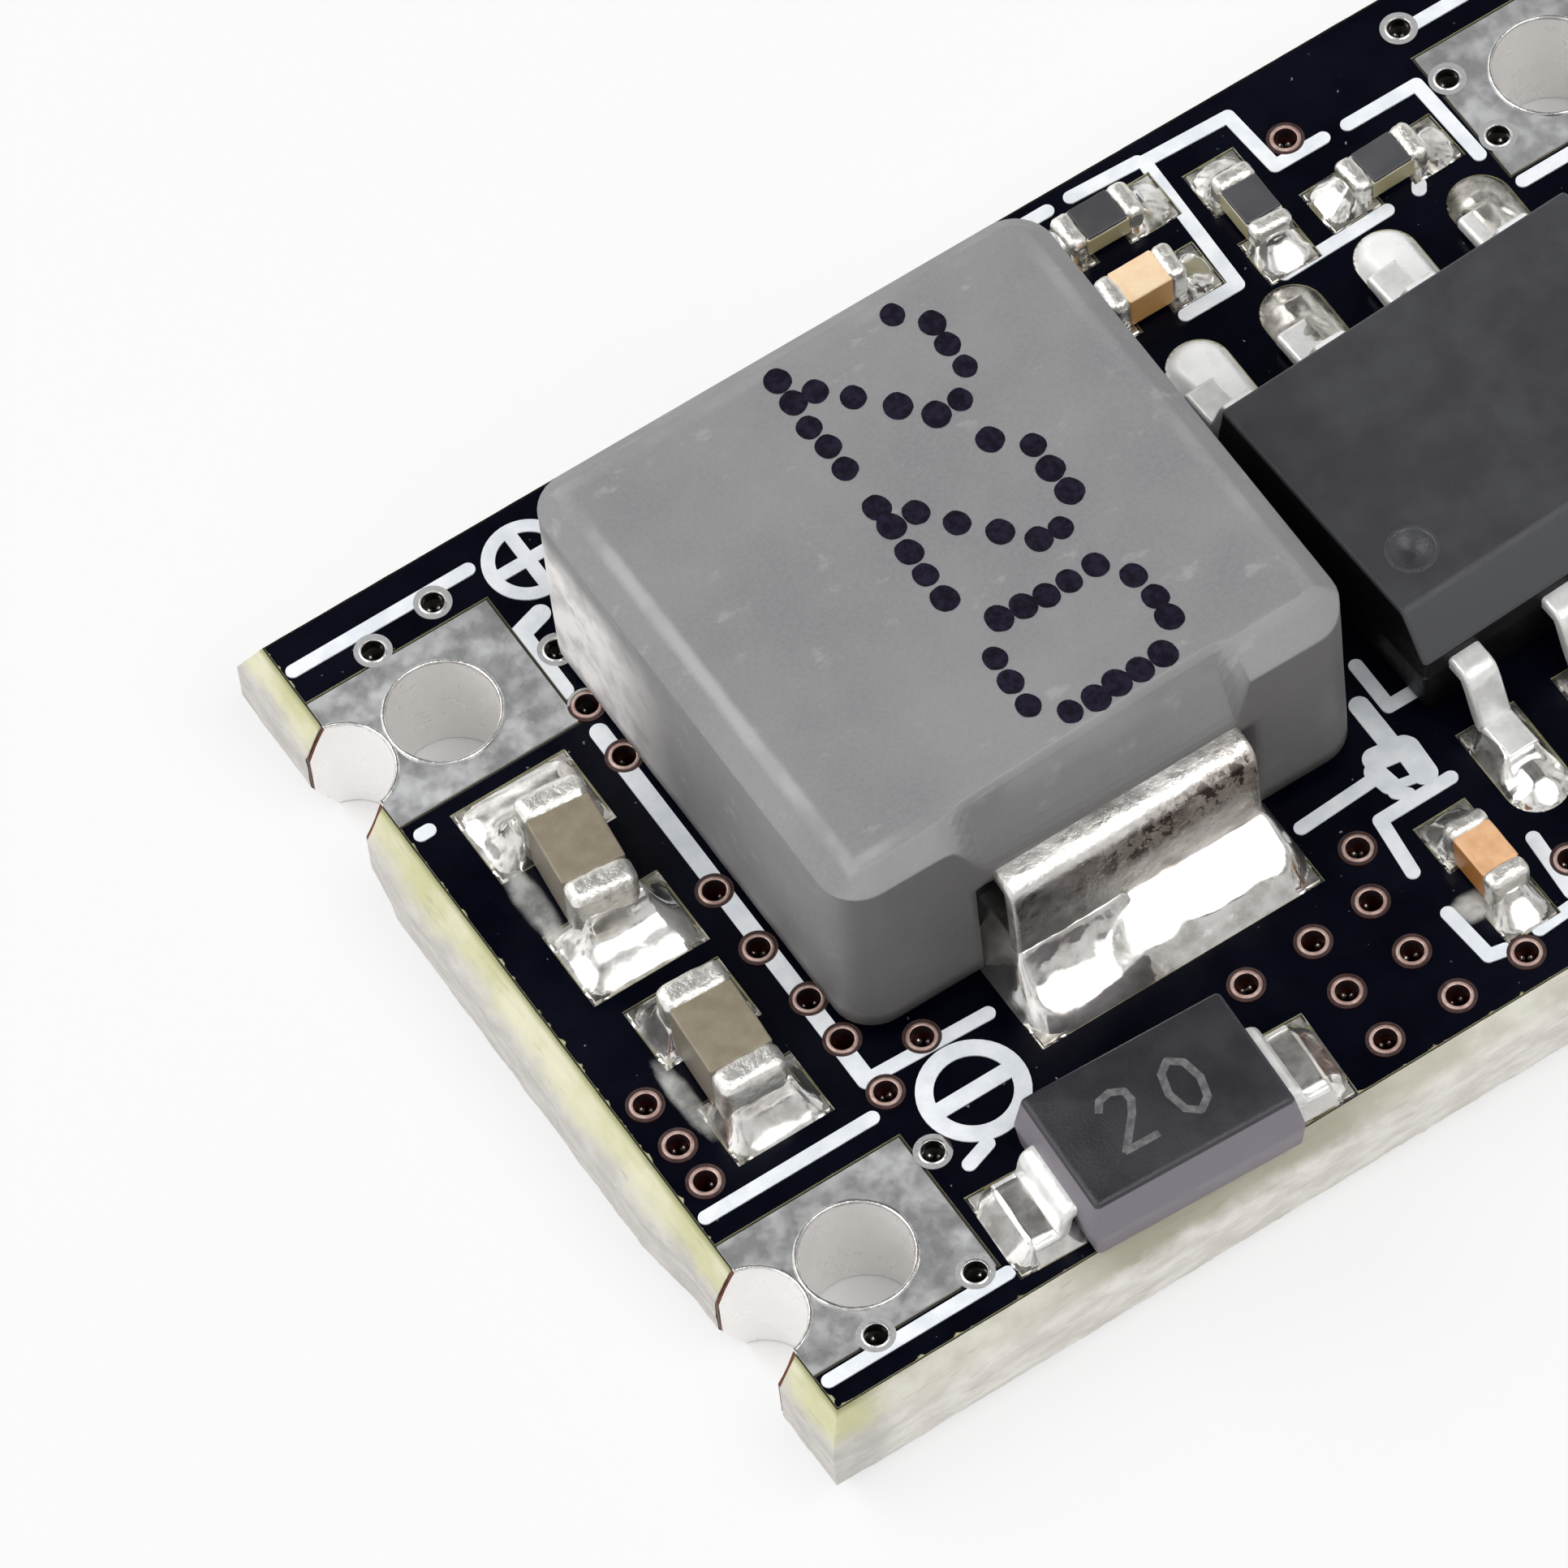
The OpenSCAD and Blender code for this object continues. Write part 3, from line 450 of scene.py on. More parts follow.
def core_finish():
    f = Finish("pressed_powder_block", roughness=0.62, specular=0.4)
    f.base = f.tones(1.8, 5, (128, 128, 130), (140, 140, 141))
    grain = f.noise(0.045, 4, 0.6)
    f.coat(f.span(grain, 0.3, 0.7, 0, 0.3), (154, 154, 155))
    pale = f.patches(0.35, 4, 0.6, 0.72, 0, 0.4, rough=0.6, stretch=(0.6, 1, 1))
    f.coat(pale, (176, 176, 177))
    # painted sheen: faces that slope up toward the near side are painted lighter
    lean = f.span(f.times(f.normal("Y", "Normal"), -1), 0.3, 0.6)
    lean = f.times(lean, f.span(f.normal("Z", "Normal"), 0.3, 0.5))
    f.coat(f.times(lean, 0.4), (168, 168, 166))
    # painted shade darkens the walls, most of all on the near side, a painted reflection lights the far
    # half of the left face low down, and the sides turn darker toward the board
    x, y = centre("inductor_core")
    off_x = f.minus(f.x, (x - BOARD_X / 2) * MM)
    off_y = f.minus(f.y, (y - BOARD_Y / 2) * MM)
    side = f.walls(0.15, 0.5)
    near = f.times(side, f.span(f.times(f.normal("Y", "Normal"), -1), 0.3, 0.9))
    f.coat(f.times(side, 0.3), (112, 109, 107))
    f.coat(f.times(near, 0.7), (92, 90, 89))
    low = f.span(f.z, 4.2 * MM, 3.6 * MM)
    # painted reflection: a pale patch low on the far half of the left face
    left_face_painted_reflection = f.times(f.span(off_x, -3.0 * MM, -3.2 * MM), f.span(off_y, 0.2 * MM, 2.2 * MM))
    left_face_painted_reflection = f.times(left_face_painted_reflection, low, f.patches(0.5, 4, 0.3, 0.6, 0.5, 1.0))
    f.coat(left_face_painted_reflection, (240, 236, 234))
    f.coat(f.times(f.patches(0.45, 5, 0.58, 0.75, 0, 0.4, rough=0.6), low), (108, 94, 90))
    # painted highlight: a pale line along the rim of the flat top, stronger toward the left
    rim_x = f.minus(f.size_of(off_x), (CORE_X / 2 - 0.34) * MM)
    rim_y = f.minus(f.size_of(off_y), (CORE_Y / 2 - 0.34) * MM)
    rim = f.size_of(f.maths("MAXIMUM", rim_x, rim_y))
    rim = f.plus(rim, f.times(f.noise(0.3, 3), 0.05 * MM))
    rim = f.span(rim, 0.05 * MM, 0.15 * MM, 1.0, 0.0)
    to_left = f.span(f.times(off_x, -1), 1.4 * MM, 3.0 * MM, 0.3, 1.0)
    rim_painted_highlight = f.times(rim, to_left, f.patches(1.6, 3, 0.4, 0.62, 0.12, 0.75))
    f.coat(rim_painted_highlight, (184, 184, 185))
    # the strap's recess is in deep shade
    across = f.size_of(f.minus(off_x, STRAP_SHIFT * MM))
    in_recess = f.maths("LESS_THAN", across, (STRAP_W / 2 + 0.15) * MM)
    in_recess = f.times(in_recess, f.maths("LESS_THAN", f.z, 3.29 * MM))
    f.coat(in_recess, (14, 13, 13))
    f.set("Roughness", f.patches(0.7, 4, 0.3, 0.7, 0.46, 0.64))
    return f.done(f.plus(f.noise(0.5, 4), f.times(grain, 0.12)), 0.02)


def mould_finish(name, dark, light, roughness, wall, dimple=None):
    """Moulding compound: fine grain, a painted sheen on sloped faces such as the near bevel, and another
    tone on upright walls, which is painted shade on the regulator and a painted sheen on the diode.
    """
    f = Finish(name, roughness=roughness)
    f.base = f.tones(0.7, 5, dark, light)
    f.coat(f.patches(0.06, 2, 0.74, 0.82, 0, 0.5, rough=0.5), (110, 110, 116))
    # painted sheen: sloped faces are painted a little lighter
    slope = f.times(f.span(f.facing(), 0.96, 0.8), f.span(f.facing(), 0.3, 0.5))
    f.coat(slope, tuple(v + 7 for v in light))
    # upright walls take each part's painted wall tone
    upright = f.span(f.facing(), 0.3, 0.2)
    f.coat(upright, wall)
    f.set("Specular IOR Level", f.span(upright, 0, 1, 0.45, 0.12))
    gloss = f.patches(0.4, 4, 0.3, 0.7, roughness - 0.06, roughness + 0.08)
    if dimple:
        # the ejector pin leaves its dimple smoother than the rest
        away = f.node("VectorMath", {0: f.where, 1: dimple}, operation="DISTANCE")
        inside = f.maths("LESS_THAN", away.outputs["Value"], (DIMPLE_R + 0.02) * MM)
        gloss = f.minus(gloss, f.times(inside, 0.2))
    f.set("Roughness", gloss)
    return f.done(f.noise(0.035, 4, 0.6), 0.006)


def ceramic_finish(name, dark, light, low):
    """Fired ceramic: one tone on top, and a deeper tone painted on the upright sides as shade."""
    f = Finish(name, roughness=0.4)
    # painted shade: upright sides take the deeper tone
    f.base = f.blend(f.walls(0.3, 0.8), f.tones(0.2, 5, dark, light), low)
    return f.done(f.noise(0.05, 4), 0.004)


def inner_metal_finish(name, dark, light):
    f = Finish(name, roughness=0.3, metallic=1.0)
    f.base = f.blend(f.noise(0.4, 4), dark, light)
    return f.done(f.noise(0.1, 3), 0.005)


MASK = mask_finish()
LEGEND = mottled("legend_print", (0.3, 4, (226, 232, 238), (246, 249, 252)), (0.05, 3, 0.006))
LAMINATE = laminate_finish()
WEB = web_finish()
PAD = pad_finish()
RIM = mottled("tinned_rim_bright", (0.12, 3, (205, 204, 203), (244, 243, 240)), (0.08, 3, 0.008), 0.2, 1)
VIA = via_finish()
COLLAR = collar_finish()
SOLDER = solder_finish("solder_bright", (206, 202, 196), (252, 250, 246), 0.12)
SOLDER_GREY = solder_finish("solder_grey", (120, 116, 108), (216, 213, 206), 0.3)
SOLDER_SATIN = solder_finish("solder_satin", (251, 251, 250), (255, 255, 254), 0.34, 0.15)
TIN = mottled("tinned_end_hammered", (0.1, 4, (222, 219, 212), (252, 250, 244), 0.3, 0.6),
              (0.1, 4, 0.02), 0.36, 1.0, rough=0.6)
STRAP = strap_finish()
CORE = core_finish()
FLUX = flux_finish()
INK = mottled("marking_ink", (0.08, 3, (14, 9, 24), (34, 28, 46), 0.35), (0.06, 3, 0.008), 0.42, 0, 0.15)
FAINT = mottled("faint_marking", (0.09, 4, (82, 82, 84), (116, 116, 116)), (0.05, 3, 0.005))
dimple = place(*centre("regulator_body"), CHIP_TURN) @ Vector((*DIMPLE, top_of("regulator_body")))
# the regulator's upright walls are painted near black as shade
MOULD = mould_finish("regulator_mould", (50, 50, 54), (62, 63, 67), 0.44, (12, 12, 14), dimple)
# the diode's upright walls are painted pale as a sheen
DIODE = mould_finish("diode_mould", (38, 37, 42), (54, 53, 58), 0.34, (128, 122, 130))
COAT = mould_finish("resistor_coat", (66, 66, 68), (80, 80, 84), 0.34, (60, 60, 62))
LEAD = mottled("lead_tinned", (0.25, 4, (234, 233, 230), (254, 254, 252), 0.3, 0.65),
               (0.12, 4, 0.01), 0.3, 0.4)
TAN = ceramic_finish("capacitor_ceramic_tan", (132, 122, 102), (146, 137, 118), (118, 110, 98))
ORANGE = ceramic_finish("capacitor_ceramic_orange", (222, 170, 122), (240, 192, 146), (172, 114, 60))
PEACH = ceramic_finish("capacitor_ceramic_peach", (250, 214, 172), (255, 230, 192), (204, 154, 96))
ALUMINA = ceramic_finish("resistor_alumina", (206, 203, 188), (224, 222, 210), (172, 164, 128))
COPPER = inner_metal_finish("winding_copper", (176, 104, 60), (206, 134, 84))
SILICON = inner_metal_finish("die_silicon", (70, 72, 80), (96, 98, 108))

CORNERS = ("out_plus", "out_minus", "in_plus", "in_minus")
Chip = namedtuple("Chip", "length width end turn slot finish")
LARGE = (1.6, 0.8, 0.38)  # length, width and length of one tinned end
SMALL = (1.0, 0.5, 0.25)
CHIPS = {
    "output_capacitor_1": Chip(*LARGE, 84, "capacitor_ceramic", TAN),
    "output_capacitor_2": Chip(*LARGE, 87, "capacitor_ceramic", TAN),
    "input_capacitor_1": Chip(*LARGE, 90, "capacitor_ceramic", TAN),
    "input_capacitor_2": Chip(*LARGE, 90, "capacitor_ceramic", TAN),
    "boost_capacitor": Chip(*SMALL, 0, "small_capacitor_ceramic", PEACH),
    "filter_capacitor": Chip(*SMALL, 91, "small_capacitor_ceramic", ORANGE),
    "feedback_resistor_1": Chip(*SMALL, 0, "alumina", ALUMINA),
    "feedback_resistor_2": Chip(*SMALL, 90, "alumina", ALUMINA),
    "feedback_resistor_3": Chip(*SMALL, 2, "alumina", ALUMINA),
}
CAD_FINISH = {
    "laminate": LAMINATE,
    "solder_mask_top": MASK,
    "solder_mask_bottom": MASK,
    "legend_top": LEGEND,
    "via_barrels": VIA,
    "component_lands": SOLDER_GREY,
    "inductor_coil": COPPER,
    "regulator_body": MOULD,
    "regulator_paddle": LEAD,
    "regulator_die": SILICON,
    "diode_die": SILICON,
}
CAD_FINISH.update({"corner_terminal_" + corner: PAD for corner in CORNERS})
CAD_FINISH.update({name: chip.finish for name, chip in CHIPS.items()})
CAD_FINISH.update({name + "_coat": COAT for name in CHIPS if "resistor" in name})
for node, material in CAD_FINISH.items():
    nodes[node].data.materials.clear()
    nodes[node].data.materials.append(material)


# ---- snapped edge ----

def snapped_edge():
    """A rough skin over the scored and snapped edge, open where the half holes are."""
    web, groove, clear = 0.25, 0.5, 0.012
    heights = [BOARD_T - 0.02 - 0.06 * k for k in range(9)] + [1.1 - 0.1 * k for k in range(7)]
    heights += [0.4, 0.3, 0.2, 0.1, 0.045]
    levels = [(z, web * min(1.0, (BOARD_T - z) / groove, z / groove) + clear) for z in heights]
    hx, hy = BOARD_X / 2, BOARD_Y / 2
    gap, step = 0.645, 0.07

    def skin(normal, along, z, proud):
        """One point of a side's skin, which stands proud of the masked face's edge."""
        edge = normal[0] * hx + normal[1] * hy
        limit = hy if normal[0] else hx
        # corners meet on the diagonal
        at_corner = abs(abs(along) - limit) < 1e-6
        stretch = math.copysign(limit + proud, along) if at_corner else along
        spot = Vector((stretch, z * 1.8, 7.0 * edge))
        rough = 0.02 * abs(wobble(spot, 0.4, 2.0, 3)) + 0.008 * abs(wobble(spot, 0.1, 5.0, 2))
        torn = 0.025 * smooth(1 - abs(z - 0.8) / 0.42) * max(0.0, wobble(spot, 0.9, 9.0, 2))
        if normal == (-1, 0):
            # the output end's web broke off further out between its half holes
            torn += 0.12 * smooth((3.5 - abs(along)) / 1.2) * smooth((1.45 - z) / 0.4) * smooth(z / 0.4)
        # the faces meet cleanly where they share a corner
        grow = (rough + torn) * min(1.0, proud / 0.1) * smooth((limit - abs(along)) / 0.25)
        side = edge + math.copysign(proud + grow, edge)
        x, y = (side, stretch) if normal[0] else (stretch, side)
        return Vector((x * MM, y * MM, z * MM))

    near_y, far_y = (centre("corner_terminal_" + corner)[1] - hy for corner in ("out_minus", "out_plus"))
    ends = [(-hy, near_y - gap), (near_y + gap, far_y - gap), (far_y + gap, hy)]
    mesh = Mesh()
    for normal, runs in (((-1, 0), ends), ((1, 0), ends), ((0, -1), [(-hx, hx)]), ((0, 1), [(-hx, hx)])):
        for start, end in runs:
            count = max(2, int((end - start) / step))
            places = [start + (end - start) * k / count for k in range(count + 1)]
            if normal in ((-1, 0), (0, 1)):
                places.reverse()
            mesh.grid([[skin(normal, along, z, proud) for along in places] for z, proud in levels])
    mesh.piece("snapped_edge_fibres", WEB, "laminate")


# ---- solder ----

def patch(mesh, at, land, feet, settings):
    """One land's solder as a sheet of heights.

    land is (x0, x1, y0, y1, corner) in the part's axes, and feet is a list of
    (x0, x1, y0, y1, height, reach): the solder climbs to height at each foot's edge and
    falls away over reach, in a straight ramp where reach is below zero. settings are the
    least height, the width of the rounded edge, the roughness and a seed.
    """
    x0, x1, y0, y1, corner = land
    base, margin, rough, seed = settings
    skirt, step = 0.03, 0.035
    wide, deep = x1 - x0 + 2 * skirt, y1 - y0 + 2 * skirt
    nx, ny = max(8, int(wide / step)), max(8, int(deep / step))

    def height_at(x, y):
        # distance inside the land's rounded outline
        qx = max(x0 + corner - x, x - (x1 - corner))
        qy = max(y0 + corner - y, y - (y1 - corner))
        inside = corner - (math.hypot(max(qx, 0), max(qy, 0)) + min(max(qx, qy), 0))
        if inside <= 0:
            return -0.04
        climb = 0.0
        for fx0, fx1, fy0, fy1, height, reach in feet:
            gap = math.hypot(max(fx0 - x, x - fx1, 0), max(fy0 - y, y - fy1, 0))
            climb = max(climb, height * (math.exp(-gap / reach) if reach > 0 else 1 + gap / reach))
        wave = wobble((x, y, seed * 3.1), 0.55, seed, 2) * rough
        wave += wobble((x, y, seed), 0.2, seed + 4, 1) * rough * 0.15
        edge = 1 - (1 - min(inside / margin, 1.0)) ** 2
        return max((base + climb + wave * (0.4 + min(climb * 4, 1))) * edge, 0.003)

    rows = []
    for j in range(ny + 1):
        y = y0 - skirt + deep * j / ny
        across = [x0 - skirt + wide * i / nx for i in range(nx + 1)]
        rows.append([at @ Vector((x, y, height_at(x, y))) for x in across])
    mesh.grid(rows)


def chip_solder(mesh, name, turn, pitch, land, height, seed, shift=(0, 0)):
    """Both lands of a chip part, with solder round each tinned end."""
    chip = CHIPS[name]
    at = place(*centre(name), turn)
    for side in (-1, 1):
        x0 = side * pitch / 2 - land[0] / 2 + shift[0]
        y0 = -land[1] / 2 + shift[1]
        foot = sorted(side * (chip.length / 2 - back) for back in (chip.end * 0.8, 0.01))
        feet = [(*foot, -chip.width / 2 + 0.02, chip.width / 2 - 0.02, height, 0.14)]
        outline = (x0, x0 + land[0], y0, y0 + land[1], 0.24)
        patch(mesh, at, outline, feet, (0.07, 0.28, 0.035, seed + side))


def solder_joints():
    """The chip parts' solder, in the three pieces that the solids have it in."""
    names = list(CHIPS)
    mesh = Mesh()
    chip_solder(mesh, names[0], 90, 1.9, (1.02, 1.44), 0.42, 1.0, (0.01, 0.02))
    chip_solder(mesh, names[1], 90, 1.46, (0.84, 1.18), 0.4, 4.0, (0.0, -0.04))
    mesh.piece("output_capacitor_solder", SOLDER, "solder", ["solder_output_capacitors"])
    mesh = Mesh()
    for k, name in enumerate(names[2:4]):
        chip_solder(mesh, name, 90, 1.46, (0.84, 1.18), 0.38, 7.0 + 3 * k)
    mesh.piece("input_capacitor_solder", SOLDER, "solder", ["solder_input_capacitors"])
    mesh = Mesh()
    for k, name in enumerate(names[4:]):
        square = round(CHIPS[name].turn / 90) * 90
        chip_solder(mesh, name, square, 1.12, (0.64, 0.64), 0.24, 13.0 + 2 * k)
    mesh.piece("small_part_solder", SOLDER, "solder", ["solder_small_parts"])


def flux_residue():
    """Thin clear rims of flux left beside some joints."""
    films = [
        ("output_capacitor_1", -0.62, 0.05, 0.2, 0.85, 81.0),
        ("output_capacitor_2", -0.6, -0.12, 0.17, 0.72, 84.0),
        ("filter_capacitor", -0.38, -0.28, 0.3, 0.24, 88.0),
    ]
    mesh = Mesh()
    for node, off_x, off_y, half_x, half_y, seed in films:
        x, y = centre(node)
        rows = []
        for ring in range(7):
            share = 1 - ring / 6
            rise = 0.028 * (1 - share ** 2) - 0.013
            row = []
            for c, s in around(48):
                reach = share * (1 + 0.16 * wobble((c * 1.5, s * 1.5, seed), 0.9, seed))
                row.append(board(x + off_x + half_x * reach * c, y + off_y + half_y * reach * s, rise))
            rows.append(row)
        mesh.grid(rows, closed=True)
    mesh.piece("flux_residue", FLUX, "solder")


# ---- chip parts ----

def axis_steps(half, radius):
    """Sample places along one side of a rounded box, close together on the round."""
    inner = half - radius
    ends = [inner + radius * e for e in (0.25, 0.5, 0.75, 1.0)]
    count = max(4, int(2 * inner / 0.05))
    flat = [-inner + 2 * inner * k / count for k in range(count + 1)]
    return [-e for e in reversed(ends)] + flat + ends


def rounded_box(mesh, at, low, high, radius, rough, size, seed):
    """A box with round edges and an uneven skin, in the part's own axes."""
    mid = [(a + b) / 2 for a, b in zip(low, high)]
    half = [(b - a) / 2 for a, b in zip(low, high)]
    radius = min(radius, *[h * 0.95 for h in half])
    steps = [axis_steps(h, radius) for h in half]

    def skin(p):
        core = Vector([min(max(c, -(h - radius)), h - radius) for c, h in zip(p, half)])
        out = Vector(p) - core
        normal = out.normalized() if out.length > 1e-9 else Vector((0, 0, 1))
        point = core + normal * radius
        grow = wobble(point, size, seed, 3) * rough
        return at @ (point + normal * grow + Vector(mid))

    for fixed in range(3):
        u, v = [a for a in range(3) if a != fixed]
        for sign in (-1, 1):
            rows = []
            for b in steps[v]:
                row = []
                for a in steps[u]:
                    p = [0, 0, 0]
                    p[fixed], p[u], p[v] = sign * half[fixed], a, b
                    row.append(skin(p))
                if (sign > 0) != (fixed != 1):
                    row.reverse()
                rows.append(row)
            mesh.grid(rows)


def chip_bodies():
    """The ceramic between the ends, with its edges tumbled round."""
    for number, (name, chip) in enumerate(CHIPS.items()):
        at = place(*centre(name), chip.turn)
        resistor = "resistor" in name
        x, y = chip.length / 2 - chip.end + 0.04, chip.width / 2
        top = top_of(name)
        mesh = Mesh()
        low, high = (-x, -y + 0.008, 0.03), (x, y - 0.008, top - (0.03 if resistor else 0.0))
        rounded_box(mesh, at, low, high, 0.03, 0.003, 0.2, 60.0 + number)
        mesh.piece(name + "_fired_body", chip.finish, chip.slot, [name], merge=1e-7)
        if resistor:
            coat = name + "_coat"
            mesh = Mesh()
            low, high = (-x + 0.03, -y + 0.02, top - 0.06), (x - 0.03, y - 0.02, top_of(coat))
            rounded_box(mesh, at, low, high, 0.015, 0.002, 0.15, 70.0 + number)
            mesh.piece(coat + "_glazed", COAT, "resistor_coat", [coat], merge=1e-7)


def tinned_ends():
    for number, (name, chip) in enumerate(CHIPS.items()):
        at = place(*centre(name), chip.turn)
        top = top_of(name + "_ends") + 0.01
        y = chip.width / 2 + 0.01
        radius, rough = (0.1, 0.014) if chip.length < 1.2 else (0.13, 0.01)
        mesh = Mesh()
        for side in (-1, 1):
            near, far = sorted(side * x for x in (chip.length / 2 - chip.end, chip.length / 2 + 0.005))
            rounded_box(mesh, at, (near, -y, 0.02), (far, y, top), radius, rough, 0.2, number + side)
        mesh.piece(name + "_tinned_ends", TIN, "solder", [name + "_ends"], merge=1e-7)


# ---- regulator ----

def smooth_path(points, rounds=2):
    """Cuts a path's corners, so that its bends are round."""
    points = [Vector(p) for p in points]
    for _ in range(rounds):
        out = [points[0]]
        for a, b in zip(points, points[1:]):
            out += [a * 0.75 + b * 0.25, a * 0.25 + b * 0.75]
        points = out + [points[-1]]
    return points


def strip(mesh, at, path, width, thick, radius, across=0.0, rough=0.0, seed=0.0, lanes=1):
    """A flat metal strip along a path in the part's x-z plane, with round edges."""
    hw, ht = width / 2 - radius, thick / 2 - radius
    section = []
    for cx, cz, start in ((hw, ht, 0), (-hw, ht, 90), (-hw, -ht, 180), (hw, -ht, 270)):
        for a in (0, 30, 60, 90):
            t = math.radians(start + a)
            section.append((cx + radius * math.cos(t), cz + radius * math.sin(t)))
        if start in (0, 180):
            level = section[-1][1]
            section += [(cx - 2 * cx * m / lanes, level) for m in range(1, lanes)]
    path = smooth_path(path)
    dense = []
    for a, b in zip(path, path[1:]):
        count = max(1, int((b - a).length / 0.06))
        dense += [a.lerp(b, k / count) for k in range(count)]
    dense.append(path[-1])
    rows = []
    for k, p in enumerate(dense):
        before, after = dense[max(k - 1, 0)], dense[min(k + 1, len(dense) - 1)]
        along = (after - before).normalized()
        normal = Vector((-along.y, along.x))
        ring = []
        for sx, sz in section:
            base = Vector((p.x + normal.x * sz, across + sx, p.y + normal.y * sz))
            grow = math.copysign(wobble(base, 0.3, seed, 3) * rough, sz)
            ring.append(at @ (base + Vector((normal.x * grow, 0, normal.y * grow))))
        rows.append(ring)
    mesh.tube(rows, (0, False), (-1, True))


def rounded_outline(hx, hy, r, along=50, turn=8):
    """Points and outward directions round a rounded rectangle."""
    out = []
    sides = [
        ((-(hx - r), -hy), (hx - r, -hy), -90),
        ((hx, -(hy - r)), (hx, hy - r), 0),
        ((hx - r, hy), (-(hx - r), hy), 90),
        ((-hx, hy - r), (-hx, -(hy - r)), 180),
    ]
    for start, end, angle in sides:
        facing = Vector((math.cos(math.radians(angle)), math.sin(math.radians(angle))))
        start, end = Vector(start), Vector(end)
        out += [(start.lerp(end, m / along), facing) for m in range(along + 1)]
        middle = end - facing * r
        for m in range(1, turn):
            a = math.radians(angle + 90 * m / turn)
            facing_m = Vector((math.cos(a), math.sin(a)))
            out.append((middle + facing_m * r, facing_m))
    return out


def regulator_moulding():
    """The moulded body with its drafted walls, near bevel and first-pin dimple."""
    at = place(*centre("regulator_body"), CHIP_TURN)
    top = top_of("regulator_body")
    half_x, half_y, bevel_in, bevel_foot = 2.45, 1.95, 0.42, top - 0.5
    levels = [(0.1, 0.09), (0.13, 0.07), (0.5, 0.035), (0.84, 0.004), (0.86, 0.0), (0.88, 0.004)]
    levels += [(bevel_foot - 0.04, 0.03), (bevel_foot, 0.032), (bevel_foot + 0.04, 0.034), (1.3, 0.055)]
    levels += [(top - 0.05, 0.075), (top - 0.02, 0.085), (top - 0.006, 0.1), (top, 0.12)]
    mesh = Mesh()
    rows = []
    for z, inset in levels:
        lean = bevel_in * max(0.0, (z - bevel_foot) / (top - bevel_foot))
        outline = rounded_outline(half_x - inset, half_y - inset - lean / 2, 0.06, 30, 5)
        rows.append([at @ Vector((p.x, p.y + lean / 2, z)) for p, _ in outline])
    mesh.tube(rows, (0, True))

    def steps(low, high, mid):
        """Sample places from low to high, close together round the dimple."""
        dense = [mid - 0.34 + 0.02 * k for k in range(35)]
        before = [low + (dense[0] - low) * k / 12 for k in range(12)]
        after = [dense[-1] + (high - dense[-1]) * k / 24 for k in range(1, 25)]
        return before + dense + after

    edge = 0.118
    rows = []
    for y in steps(-half_y + edge + bevel_in, half_y - edge, DIMPLE[1]):
        row = []
        for x in steps(-half_x + edge, half_x - edge, DIMPLE[0]):
            r = math.hypot(x - DIMPLE[0], y - DIMPLE[1]) / DIMPLE_R
            dip = 0.12 * (1 - r ** 2) if r < 1 else -0.02 * max(0.0, 1 - abs(r - 1.07) / 0.07)
            row.append(at @ Vector((x, y, top - dip)))
        rows.append(row)
    mesh.grid(rows)
    mesh.piece("regulator_moulding", MOULD, "mould_compound", ["regulator_body"])


def regulator_leads():
    x, y = centre("regulator_body")
    offsets = [(k - 1.5) * LEAD_PITCH for k in range(4)]
    path = [(1.6, 0.86), (2.14, 0.86), (2.22, 0.84), (2.42, 0.22), (2.5, 0.16), (3.0, 0.15)]
    for side, name in ((1, "far"), (-1, "near")):
        mesh = Mesh()
        for k, offset in enumerate(offsets):
            at = place(x, y, CHIP_TURN + 90 * side) @ Matrix.Translation((0, -offset * side, 0))
            strip(mesh, at, path, 0.42, 0.2, 0.05, rough=0.006, seed=k + 3.0 * side)
        mesh.piece("regulator_formed_leads_" + name, LEAD, "lead", ["regulator_leads_" + name], merge=1e-8)
    # lands are square to the board, the chip a little turned on them
    lx, ly = CHIP_LANDS
    land = (2.35, 3.68, -0.36, 0.36, 0.35)
    foot_out = 2.7
    cos, sin = math.cos(math.radians(CHIP_TURN)), math.sin(math.radians(CHIP_TURN))
    satin, flat, mounds = Mesh(), Mesh(), Mesh()
    for side in (1, -1):
        for k, offset in enumerate(offsets):
            at = place(lx + offset, ly, 90 * side)
            # the foot's place in the land's own axes
            along = side * (y + offset * sin + side * foot_out * cos - ly)
            cross = -side * (x + offset * cos - side * foot_out * sin - (lx + offset))
            foot = (along - 0.3, along + 0.3, cross - 0.2, cross + 0.2)
            if side < 0:
                heel = (3.0, 3.4, -0.08, 0.08, 0.1, 0.18)
                patch(flat, at, land, [(*foot, 0.2, 0.14), heel], (0.05, 0.2, 0.02, 31.0 + k))
            elif k in (0, 2):
                patch(satin, at, land, [(*foot, 0.24, 0.75)], (0.0, 0.16, 0.006, 21.0 + k))
            else:
                heel = (3.0, 3.35, -0.12, 0.12, 0.16, 0.2)
                patch(mounds, at, land, [(*foot, 0.2, 0.16), heel], (0.05, 0.16, 0.05, 25.0 + k))
    satin.piece("regulator_solder_satin", SOLDER_SATIN, "solder")
    flat.piece("regulator_solder_smooth", SOLDER, "solder", ["solder_regulator"])
    mounds.piece("regulator_solder_mounds", SOLDER_GREY, "solder")


# ---- inductor ----

